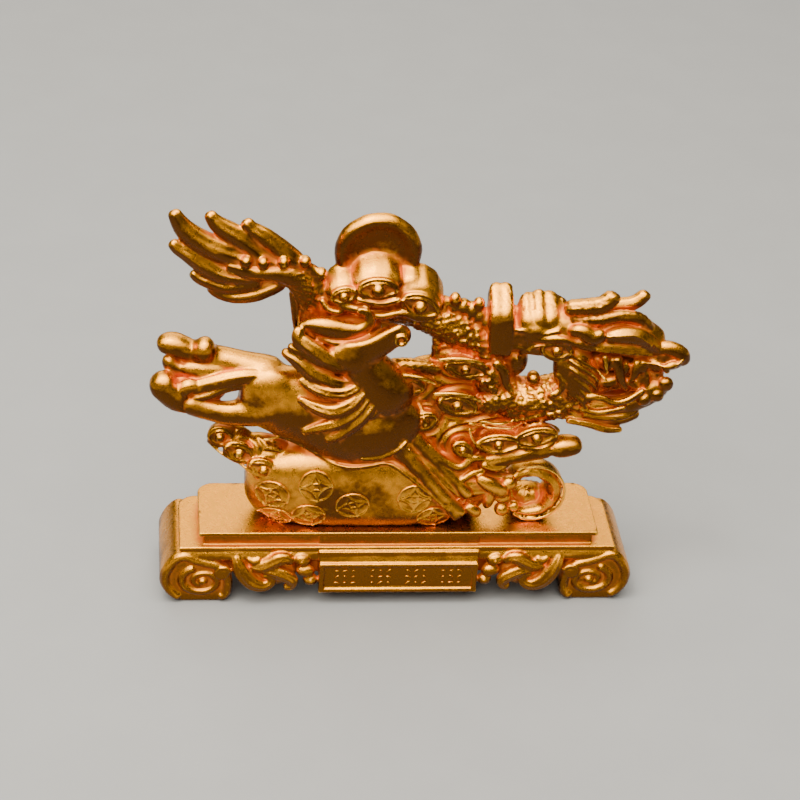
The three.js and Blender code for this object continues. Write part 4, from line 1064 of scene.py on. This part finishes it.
HORN = [[55, -3, 121.6, 3.0], [62, -3.6, 122.2, 3.5], [68.6, -3.8, 123.4, 3.4], [72.4, -3.6, 126.6, 3.2],
        [73.6, -3.4, 128.6, 2.9]]


def dragon_head_shells():
    """The head: skull and temples, the fluted crest and brow block, horns, folds of the nose, leaf-shaped
    upper lip, rounded snout, cheek fan, mouth with fangs and tongue, lower jaw, lip leaf and beard."""
    skull = [[32, 0, 107, 6], [44, 0, 110.4, 8], [55, 0, 111.4, 9], [66, 0, 110.4, 8], [77, 0, 110.6, 7],
             [86, 0, 109, 6.0], [94, -0.5, 104.4, 4.6]]
    crest = rounded([
        [28.4, 106], [28.0, 121.2], [28.8, 123.8], [30.6, 124.6], [32.6, 124.3], [34.6, 124.7], [36.6, 123.8],
        [37.2, 121.2], [36.8, 106]])
    crest_foot = [[36, 0, 107, 4.4], [33.4, -1.0, 114, 4.2], [33.0, -1.4, 119, 3.8]]
    temple = [[38.2, 1.6, 108, 3.4], [38.2, 2.0, 119.6, 2.4]]
    brow_block = rounded([
        [39.2, 106], [39.0, 117.6], [40.2, 120.6], [42.0, 121.7], [43.6, 121.5], [45.4, 122.7],
        [47.2, 122.9], [48.8, 122.0], [50.8, 122.4], [52.8, 121.9], [54.4, 120.4], [56.2, 119.6],
        [58.4, 117.2], [58.6, 106]])
    far_horn = [[66, 3, 117.4, 3], [76, 2.8, 119.4, 2.9], [82, 2.8, 120.6, 2.8], [85.4, 3, 123.4, 2.6],
                [86.6, 3, 125.4, 2.2]]
    nose_ridge = [[57, -4, 117.8, 2.2], [67, -5.2, 118, 2.6], [76, -4.4, 119.2, 2.4], [84, -2.6, 116.6, 2.6],
                  [90, -1.2, 109, 2.2]]
    tab = [[57, -6.4, 113.4, 2.0], [61.0, -8.0, 115.0, 2.7], [66.0, -8.4, 112.6, 3.0],
           [70.4, -7.8, 114.4, 2.4]]
    lip_leaf = [[70, -6.6, 111.4, 2.2], [76, -6.8, 112.6, 3.2], [83, -5.8, 111.4, 3.4],
                [89, -4.4, 107.4, 2.8], [93.4, -3.6, 103.6, 1.8]]
    upper_lip = [[56, -6, 110.6, 2.0], [65, -7.4, 108.6, 2.3], [74, -7.2, 107.4, 2.2], [83, -6.0, 106.0, 2.1],
                 [91.6, -3.6, 103.4, 1.8]]
    snout_mass = [lump([96.0, -2.0, 101.0], [7.4, 4.0, 6.0], 0.25), lump([92.6, -2.4, 98.6], [5.4, 3.6, 4.4])]
    snout_leaf = [[89, -3.0, 103.4, 2.2], [95, -4.0, 105.4, 2.8], [100.6, -4.0, 102.8, 3.1],
                  [102.0, -3.8, 98.0, 2.6]]
    nostril = [[100.0, -6.0, 98.6, 1.0], [97.6, -6.8, 100.0, 1.4], [95.0, -6.8, 98.4, 1.3],
               [96.2, -6.8, 96.2, 1.0]]
    cheek = [[58, -2, 106, 4.6], [62.6, -3, 98, 6.4], [63, -3, 89, 7], [66, -2, 82, 5]]
    fan = [[[58.0 + 0.5 * i, -7.4, 102.4 - 3.2 * i, 0.8], [62.6, -8.9, 99.8 - 3.2 * i, 0.95],
            [67.6 - 0.5 * i, -8.5, 96.2 - 3.2 * i, 0.8], [70.6 - 0.7 * i, -7.6, 92.4 - 3.0 * i, 0.6]]
           for i in range(5)]
    cheek_wall = [lump([60, -3.4, 96], [6.6, 4.6, 10.4], -0.2), lump([66, -3.6, 93], [5.6, 4.6, 9], -0.2)]
    mouth_relief = [
        lump([73.6, -4.4, 99.4], [3.6, 2.6, 3.4], 0.5), lump([79.4, -4.2, 96.0], [2.6, 2.6, 4.4], 0.3),
        lump([74.6, -4.6, 91.2], [4.2, 2.4, 2.6], -0.3), lump([86.2, -3.6, 97.6], [3.4, 2.6, 3.6], 0.2),
        lump([87.8, -3.2, 91.6], [3.6, 2.8, 4.4], 0.1), lump([92.6, -2.4, 93.4], [3.0, 2.6, 3.4])]
    throat_wall = [lump([77, 3.0, 95], [14, 3.4, 13]), lump([80, 2.0, 86], [14, 3.2, 5.6])]
    palate = [[64, -1, 106, 3.0], [74, -1.4, 104.0, 2.8], [84, -1.4, 102.0, 2.6], [90, -1.4, 99.0, 2.4]]
    gums = [
        [[68, -2.4, 100.6, 1.6], [75, -3.8, 98.0, 1.8], [82, -3.6, 97.4, 1.6], [88, -2.8, 96.0, 1.3]],
        [[68, -2.0, 95.0, 1.6], [74, -3.0, 92.6, 1.7], [80, -3.0, 93.4, 1.5]]]
    tongue = [[70, -1.6, 86, 2.4], [76, -3.4, 89.6, 2.8], [82, -4.2, 90.6, 2.5], [87.4, -4.6, 87.6, 1.8]]
    lower_jaw = [[60, -2, 82, 4.6], [70, -3.6, 80.4, 3.9], [80, -4, 80.4, 3.7], [88, -4, 83.4, 3.9],
                 [93, -3.8, 87.0, 3.8], [97.0, -3.6, 90.0, 3.2]]
    jaw_knobs = [
        lump([91.0, -4.0, 86.6], [6.0, 3.6, 5.0], -0.5), lump([93.0, -6.6, 86.4], [2.8, 2.0, 2.6], 0.5),
        lump([88.2, -7.0, 84.8], [2.6, 2.0, 2.4]), lump([96.0, -5.4, 90.6], [3.0, 2.4, 3.0])]
    lip = [[64, -7, 82.6, 1.3], [67.4, -8.6, 86.8, 1.5], [72, -8.6, 86.4, 1.3], [77, -8.4, 84.2, 1.3],
           [82, -8.0, 85.2, 1.3], [88, -7.4, 89.4, 1.2]]
    lip_low = [[64, -7.4, 81.4, 1.1], [70, -8.2, 79.8, 1.2], [76, -8.2, 80.6, 1.1], [82, -7.8, 82.0, 1.0]]
    beard = [
        [[54, -2, 76.4, 2.4], [64, -3, 76.2, 3.0], [74, -3.4, 74.6, 3.0], [82, -3.4, 74.4, 2.6],
         [88, -3.4, 77.4, 2.2]],
        [[60, -5.6, 74.8, 1.3], [69, -6.4, 73.4, 1.5], [76, -6.6, 71.2, 1.5], [82, -6.2, 71.0, 1.2]],
        [[66, -6.0, 77.6, 1.2], [75, -6.8, 76.6, 1.3], [82, -6.6, 77.2, 1.2], [87, -5.6, 79.4, 1.0]]]
    fangs = [
        [[76.4, -5, 103, 2.2], [77.6, -6.6, 97, 1.9], [79.4, -6.6, 92.0, 1.5], [82.0, -6.2, 88.6, 1.0]],
        [[84.6, -4, 101, 1.9], [84.0, -5.6, 96, 1.6], [82.4, -5.8, 91.6, 1.1]],
        [[88.4, -5.0, 88.4, 1.4], [88.8, -5.4, 92.6, 1.1], [88.2, -5.2, 96.2, 0.7]],
        [[71.6, -6.4, 104.0, 1.3], [72.4, -7.2, 99.6, 1.1], [73.0, -7.0, 95.8, 0.7]]]
    eye_brow = [[35.6, -3, 109.4, 1.0], [41, -5.6, 110.6, 1.2], [47, -7.2, 110.8, 1.4],
                [54, -8.4, 111.6, 1.4], [60.6, -8.0, 109.0, 1.0]]
    brow_folds = [
        [[35, -3.6, 113.0, 0.8], [40.6, -6.0, 113.6, 0.9], [47, -7.0, 112.8, 1.0], [54, -7.4, 114.6, 0.9]],
        [[34, -4.4, 105.0, 0.8], [38.4, -5.4, 106.4, 1.0], [43.4, -6.2, 106.0, 0.8]]]
    eye = cloud_eye([53.2, -6.2, 106.4], 6.2, 4.4, 0.15, 1.9, 2.4)
    cover = [
        lump([39.5, 0, 98], [5.0, 5, 6.6]), lump([46, -3.4, 112.6], [7.4, 4.6, 4.8], 0.2),
        lump([46.8, -2.4, 91.4], [2.6, 3.2, 2.6])]
    rough = [stroke(line, relief=strands(7, 0.2), blunt=0.7) for line in (HORN, far_horn)]
    folds = [
        tab, lip_leaf, upper_lip, cheek, lower_jaw, palate, tongue, lip, lip_low, eye_brow, snout_leaf,
        nostril, *brow_folds, *gums, *fan, *fangs]
    return [
        stroke(skull, depth=0.85, around=40), shelf(crest, -6.6, 6.0, 0.70, 6.0), stroke(crest_foot),
        stroke(temple), shelf(brow_block, -7.0, 6.0, 0.6, 4.5), stroke(nose_ridge, relief=ribs(2.4, 0.2)),
        *cover, *cheek_wall, *mouth_relief, *throat_wall, *snout_mass, *jaw_knobs, *eye, *rough,
        *[stroke(line) for line in folds], *[stroke(line, relief=strands(5, 0.4)) for line in beard]]


def raised_lines():
    """The thin raised lines of the group, as rows of x, y, z and a radius: along the tail, the horse's belly,
    legs and chest, the clouds, the sack's mouth, and the dragon's underside, face and jaw."""
    mouth = [50.2, -9.0, 43.9]
    hem, inner = arc(mouth, 12.0, -2.2, 2.2, 20), arc(mouth, 8.0, -0.4, 3.5, 18)
    return [
        ([[-67, -2.0, 136.2], [-58, -3.0, 132.6], [-50, -3.6, 130.6], [-45.4, -2.6, 129.0],
          [-42.0, -2.6, 124.0], [-40.6, -2.2, 112]], 0.5),
        ([[-52.9, -9.6, 68.8], [-48.4, -10.6, 68.8], [-43.5, -11.4, 67.8], [-35.2, -12.4, 63.8],
          [-27.6, -12.8, 60.0], [-20.1, -12.8, 58.4], [-12.6, -12.6, 59.0], [-6.0, -13.4, 59.6],
          [1.2, -13.6, 55.6], [8.4, -14.4, 49.0], [18.0, -15.4, 40.6]], 0.6),
        ([[-17, -13.0, 62.6], [-10.0, -13.2, 63.0], [-4.0, -13.0, 65.4], [0.6, -12.4, 69.4]], 0.75),
        ([[-9.4, -8.6, 97.0], [-4.6, -8.6, 91.6], [1.6, -8.2, 86.0], [6.0, -8.0, 79.4], [6.6, -8.0, 73.6]],
         0.55),
        ([[1.0, -10.6, 66.2], [8, -12.4, 59.6], [16, -13.4, 51.0], [23.6, -13.8, 42.4]], 0.45),
        ([[-73, -3.8, 64.8], [-70.0, -5.6, 62.0], [-66, -6.8, 59.4], [-60, -8.6, 56.0], [-54, -10.2, 51.6]],
         0.5),
        ([[23.5, -9.4, 73.6], [25.0, -9.6, 69.0], [28.2, -9.8, 65.6], [31.6, -10.0, 63.8],
          [35.4, -10.2, 62.8], [39.4, -10.2, 64.8], [44, -10.2, 65.4], [50.2, -10.2, 65.4],
          [54.8, -9.8, 67.0], [57.0, -9.4, 70.6]], 0.55),
        (hem, 0.55), (inner, 0.45),
        ([[23, -8.0, 75.0], [28, -8.4, 74.2], [35, -8.6, 75.0], [40, -8.6, 74.4], [46.2, -8.6, 76.2],
          [52, -8.4, 78.2], [58, -8.2, 80.2], [63.4, -8.0, 83.6]], 0.6),
        ([[26, -8.0, 72.6], [33, -8.2, 73.0], [40, -8.2, 72.6], [47, -8.2, 73.8], [54, -8.0, 75.6],
          [61, -7.8, 77.4]], 0.5),
        ([[52.0, -8.0, 109.4], [48.0, -7.8, 108.6], [44.0, -7.2, 106.6], [41.0, -6.8, 103.6],
          [39.4, -5.4, 99.6]], 0.5),
        ([[58.4, -9.0, 104.4], [63.4, -10.0, 101.8], [69.0, -9.6, 97.6], [73.2, -8.4, 93.6]], 0.55),
        ([[47.4, -8.0, 106.6], [50.0, -8.8, 109.2], [54.0, -9.2, 110.0], [58.4, -9.0, 107.6],
          [59.4, -8.8, 104.6], [56.0, -8.8, 102.6], [51.0, -8.6, 103.2], [47.4, -8.0, 106.6]], 0.45),
        ([[86.0, -5, 100.0], [92, -6, 99.4], [97.6, -6, 99.6], [101.6, -6, 102.6]], 0.5),
        ([[66.0, -6, 111.6], [74.0, -6.4, 113.6], [82.0, -5.6, 113.4], [88.6, -4.4, 108.4]], 0.5),
        ([[67.0, -6, 108.0], [75.0, -6.4, 106.6], [83.0, -5.6, 105.0], [89.6, -4.4, 103.4]], 0.45)]


# The painted shade on upright faces thins out from the horse's belly down to the sack.
PAINTED_SHADE_BY_HEIGHT = (52.0, 66.0), (0.62, 1.0)


def make_figure(sizes):
    pitch = sizes.scale_pitch / MM
    shells = [
        *sack_shells(), *horse_shells(), *dragon_tail_shells(pitch), disc_shell(), *cloud_shells(),
        *dragon_body_shells(pitch), *dragon_head_shells()]
    shells += drape(raised_lines(), shells)
    coins = coin_shells(sizes.coin_radius / MM)
    scaly = [dragon_body_line()[3:], [[29, -5, 91, 4], [34, -6, 82, 5], [46, -6, 82, 5]]]
    horny = [HORN, [[30, 0, 124, 4], [56, 0, 122, 4]]]
    grained = ((scaly, 1.6, 0.8 * pitch, 0.75), (horny, 1.4, 1.3, 0.22))
    return carve("dragon_and_horse_gilded", "dragon_and_horse", shells, coins, sizes.figure_grain,
                 sizes.figure_faces, skin=0.07, grained=grained, painted_shade=PAINTED_SHADE_BY_HEIGHT, floor_z=SEAT)


# Materials. Each piece's mesh carries these form values.
FORM_VALUES = "hollow", "edge", "under"


def socket(tree, name, kind, way, default=None):
    made = tree.interface.new_socket(name=name, in_out=way, socket_type=kind)
    if default is not None:
        made.default_value = default
    return made


def link(tree, a, b):
    tree.links.new(a, b)


def node(tree, kind, **values):
    made = tree.nodes.new(kind)
    for key, value in values.items():
        if key in made.inputs:
            made.inputs[key].default_value = value
        else:
            setattr(made, key, value)
    return made


def ramp(tree, source, low, high):
    """A smooth step of source from low to high."""
    made = tree.nodes.new("ShaderNodeMapRange")
    made.interpolation_type = "SMOOTHSTEP"
    feed(tree, [made.inputs[name] for name in ("Value", "From Min", "From Max")], (source, low, high))
    return made.outputs["Result"]


def feed(tree, inputs, values):
    """Links or sets each input from its value."""
    for socket_in, value in zip(inputs, values):
        if isinstance(value, bpy.types.NodeSocket):
            tree.links.new(value, socket_in)
        else:
            socket_in.default_value = value


def math_node(tree, operation, a, b):
    made = tree.nodes.new("ShaderNodeMath")
    made.operation = operation
    feed(tree, made.inputs, (a, b))
    return made.outputs[0]


def mix(tree, factor, a, b):
    """A colour mix of a and b by factor."""
    made = tree.nodes.new("ShaderNodeMix")
    made.data_type = "RGBA"
    feed(tree, (made.inputs[0], made.inputs[6], made.inputs[7]), (factor, a, b))
    return made.outputs[2]


def noise(tree, coordinates, scale, detail, rough=0.6):
    made = node(tree, "ShaderNodeTexNoise", Scale=scale, Detail=detail, Roughness=rough)
    link(tree, coordinates, made.inputs["Vector"])
    return made.outputs["Fac"]


def gilding_group():
    """The gilding's skin, built once: its colour, roughness, metalness and bump height from the stored form
    values and from noise on object coordinates. The colour carries painted shade on faces that turn away
    from above, glaze with painted shade in the hollows, and paler edges."""
    tree = bpy.data.node_groups.new("gilding_skin", "ShaderNodeTree")
    for name in ("Gold", "Edge Gold", "Shaded Gold", "Glaze And Shade"):
        socket(tree, name, "NodeSocketColor", "INPUT")
    for name in ("Glaze Reach", "Grain", "Painted Shade Amount"):
        socket(tree, name, "NodeSocketFloat", "INPUT", 0.5)
    socket(tree, "Colour", "NodeSocketColor", "OUTPUT")
    for name in ("Roughness", "Metallic", "Height"):
        socket(tree, name, "NodeSocketFloat", "OUTPUT")
    given = tree.nodes.new("NodeGroupInput").outputs
    result = tree.nodes.new("NodeGroupOutput").inputs
    place = tree.nodes.new("ShaderNodeTexCoord").outputs["Object"]
    hollow, edge, under = (
        node(tree, "ShaderNodeAttribute", attribute_name=name).outputs["Fac"] for name in FORM_VALUES)
    broad = noise(tree, place, scale=60, detail=3, rough=0.55)
    mottle = noise(tree, place, scale=380, detail=4, rough=0.7)
    fine = noise(tree, place, scale=2400, detail=3, rough=0.7)

    def plus(a, b, share=1.0):
        return math_node(tree, "ADD", a, math_node(tree, "MULTIPLY", b, share))

    # Painted shade and painted dark reflection lie in patches on faces that turn away from above.
    uneven = plus(broad, mottle, 0.35)
    painted_shade_mask = ramp(tree, plus(uneven, under, 1.1), 0.84, 1.26)
    painted_shade_mask = math_node(tree, "MULTIPLY", painted_shade_mask, given["Painted Shade Amount"])
    base = mix(tree, painted_shade_mask, given["Gold"], given["Shaded Gold"])
    # The glaze lies in the hollows: partly orange-red glaze and partly painted shade, darker still where the
    # painted shade on faces turned away from above lies.
    glaze_and_shade = ramp(tree, plus(hollow, math_node(tree, "SUBTRACT", uneven, 0.67), 0.9), 0.10, 0.78)
    glaze_and_shade = math_node(tree, "MULTIPLY", glaze_and_shade, given["Glaze Reach"])
    unshaded_share = math_node(tree, "SUBTRACT", 1.0, math_node(tree, "MULTIPLY", painted_shade_mask, 0.45))
    glazed_and_shaded = mix(tree, math_node(tree, "MULTIPLY", glaze_and_shade, unshaded_share), base, given["Glaze And Shade"])
    # The edges are paler gold, and the glazed and painted-shade hollows are rougher and less metallic.
    edge_paling = ramp(tree, plus(edge, math_node(tree, "SUBTRACT", mottle, 0.5), 0.7), 0.25, 0.95)
    link(tree, mix(tree, edge_paling, glazed_and_shaded, given["Edge Gold"]), result["Colour"])
    rough = plus(math_node(tree, "MULTIPLY", mottle, 0.26), glaze_and_shade, 0.14)
    link(tree, math_node(tree, "ADD", rough, 0.15), result["Roughness"])
    link(tree, math_node(tree, "SUBTRACT", 1.0, math_node(tree, "MULTIPLY", glaze_and_shade, 0.35)), result["Metallic"])
    link(tree, math_node(tree, "MULTIPLY", plus(fine, mottle, 0.8), given["Grain"]), result["Height"])
    return tree


def gilding(name, colours, reach, grain, painted_shade_amount, bump):
    """A gilded material: the skin group feeds a metal shader with a thin clear coat. The patches value sets
    how much painted shade lies on faces turned away from above.
    """
    material = bpy.data.materials.new(name)
    material.use_nodes = True
    tree = material.node_tree
    shader = tree.nodes["Principled BSDF"]
    skin = tree.nodes.new("ShaderNodeGroup")
    skin.node_tree = bpy.data.node_groups.get("gilding_skin") or gilding_group()
    tones = (*colours.gold, 1), (*colours.pale_gold, 1), (*colours.painted_shade_colour, 1), (*colours.glaze_and_shade, 1)
    feed(tree, skin.inputs, (*tones, reach, grain, painted_shade_amount))
    for given, taken in (("Colour", "Base Color"), ("Roughness", "Roughness"), ("Metallic", "Metallic")):
        link(tree, skin.outputs[given], shader.inputs[taken])
    relief = node(tree, "ShaderNodeBump", Strength=bump, Distance=0.0004)
    link(tree, skin.outputs["Height"], relief.inputs["Height"])
    link(tree, relief.outputs["Normal"], shader.inputs["Normal"])
    shader.inputs["Coat Weight"].default_value = 0.08
    shader.inputs["Coat Roughness"].default_value = 0.12
    return material


def plain_material(name, colour, roughness):
    material = bpy.data.materials.new(name)
    material.use_nodes = True
    tree = material.node_tree
    shader = tree.nodes["Principled BSDF"]
    place = tree.nodes.new("ShaderNodeTexCoord").outputs["Object"]
    spots = ramp(tree, noise(tree, place, scale=30, detail=5), 0.35, 0.7)
    shade = mix(tree, spots, (*(0.97 * c for c in colour), 1), (*colour, 1))
    link(tree, shade, shader.inputs["Base Color"])
    shader.inputs["Roughness"].default_value = roughness
    return material


# Operators. The floor's half side is in metres.
FLOOR_HALF = 4.0


class ORNAMENT_OT_plinth(bpy.types.Operator):
    """Makes the gilded plinth in place of its solid"""

    bl_idname = "ornament.plinth"
    bl_label = "Plinth"

    def execute(self, context):
        piece = make_plinth(context.scene.ornament_sizes)
        piece.data.materials.append(gilding(
            "gilt_plinth", context.scene.ornament_colours, reach=0.8, grain=0.9, painted_shade_amount=0.9, bump=0.3))
        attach(piece, "root")
        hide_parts("plinth")
        return {"FINISHED"}


class ORNAMENT_OT_figure(bpy.types.Operator):
    """Makes the gilded dragon and horse group in place of its solid"""

    bl_idname = "ornament.figure"
    bl_label = "Dragon and horse"

    def execute(self, context):
        piece = make_figure(context.scene.ornament_sizes)
        piece.data.materials.append(gilding(
            "gilt_figure", context.scene.ornament_colours, reach=1.0, grain=0.6, painted_shade_amount=1.0, bump=0.35))
        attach(piece, "root")
        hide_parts("dragon_and_horse")
        return {"FINISHED"}


class ORNAMENT_OT_stage(bpy.types.Operator):
    """Sets the pale floor, the soft lights and the camera"""

    bl_idname = "ornament.stage"
    bl_label = "Floor, lights and camera"

    def execute(self, context):
        scene = context.scene
        corners = FLOOR_HALF * np.array([[-1, -1, 0], [1, -1, 0], [1, 1, 0], [-1, 1, 0]], float)
        floor = bpy.data.objects.new("floor", raw_mesh("floor", corners,
                                                       np.array([[0, 1, 2], [0, 2, 3]], np.int32)))
        scene.collection.objects.link(floor)
        floor.data.materials.append(plain_material("pale_floor", scene.ornament_colours.floor, roughness=0.7))
        set_lights(scene)
        scene.camera = set_camera(scene)
        return {"FINISHED"}


def set_lights(scene):
    """A wide soft panel overhead that the sloping tops mirror, a second one behind for the level tops, a
    small one inside it for sparkle, a faint one at the front left, and a dim surround."""
    world = bpy.data.worlds.new("studio")
    world.use_nodes = True
    world.node_tree.nodes["Background"].inputs["Color"].default_value = (0.80, 0.82, 0.86, 1)
    world.node_tree.nodes["Background"].inputs["Strength"].default_value = 0.08
    scene.world = world
    lamps = (
        ("back_light", (0.00, 1.00, 0.72), 1.2, 0.5, 5.4),
        ("sky_light", (-0.20, -0.25, 1.15), 1.7, 2.0, 58.0),
        ("spark_light", (-0.25, -0.20, 0.95), 0.26, 0.20, 4.0),
        ("front_light", (-0.60, -0.55, 0.75), 0.30, 0.24, 1.2))
    for name, place, long, wide, power in lamps:
        data = bpy.data.lights.new(name, "AREA")
        data.shape = "RECTANGLE"
        data.size, data.size_y, data.energy = long, wide, power
        data.color = (1.0, 0.94, 0.78)
        lamp = bpy.data.objects.new(name, data)
        lamp.location = place
        lamp.rotation_mode = "QUATERNION"
        lamp.rotation_quaternion = (Vector((0, 0, 0.08)) - Vector(place)).to_track_quat("-Z", "Y")
        scene.collection.objects.link(lamp)


def set_camera(scene):
    """The photograph's view: the back vector from azimuth and elevation, a small roll about it, and a
    long lens."""
    azimuth, elevation, roll = math.radians(-7.57), math.radians(32.72), math.radians(4.27)
    distance, target, focal_pixels = 886.5, np.array([-1.776, 0, 79.76]), 2394.0
    back = np.array([math.sin(azimuth) * math.cos(elevation), -math.cos(azimuth) * math.cos(elevation),
                     math.sin(elevation)])
    right = np.array([math.cos(azimuth), math.sin(azimuth), 0])
    up = np.cross(back, right)
    x = math.cos(roll) * right + math.sin(roll) * up
    y = -math.sin(roll) * right + math.cos(roll) * up
    place = (target + back * distance) * MM + HOME
    data = bpy.data.cameras.new("camera")
    data.sensor_width = 36
    data.lens = data.sensor_width * focal_pixels / 800
    data.clip_start = 0.01
    camera = bpy.data.objects.new("camera", data)
    matrix = Matrix.Identity(4)
    for row in range(3):
        for column, vector in enumerate((x, y, back, place)):
            matrix[row][column] = vector[row]
    camera.matrix_world = matrix
    scene.collection.objects.link(camera)
    return camera


class ORNAMENT_PT_panel(bpy.types.Panel):
    """Lists the ornament's pieces in the sidebar"""

    bl_label = "Gilded ornament"
    bl_idname = "ORNAMENT_PT_panel"
    bl_space_type = "VIEW_3D"
    bl_region_type = "UI"
    bl_category = "Ornament"

    def draw(self, context):
        column = self.layout.column()
        for operator in (ORNAMENT_OT_plinth, ORNAMENT_OT_figure, ORNAMENT_OT_stage):
            column.operator(operator.bl_idname)
        for group in (context.scene.ornament_sizes, context.scene.ornament_colours):
            for name in group.__annotations__:
                column.prop(group, name)


CLASSES = (OrnamentSizes, OrnamentColours, ORNAMENT_OT_plinth, ORNAMENT_OT_figure, ORNAMENT_OT_stage,
           ORNAMENT_PT_panel)


def register():
    for each in CLASSES:
        bpy.utils.register_class(each)
    bpy.types.Scene.ornament_sizes = bpy.props.PointerProperty(type=OrnamentSizes)
    bpy.types.Scene.ornament_colours = bpy.props.PointerProperty(type=OrnamentColours)


def unregister():
    del bpy.types.Scene.ornament_colours
    del bpy.types.Scene.ornament_sizes
    for each in reversed(CLASSES):
        bpy.utils.unregister_class(each)


def main():
    register()
    bpy.ops.ornament.plinth()
    bpy.ops.ornament.figure()
    bpy.ops.ornament.stage()


if __name__ == "__main__":
    main()
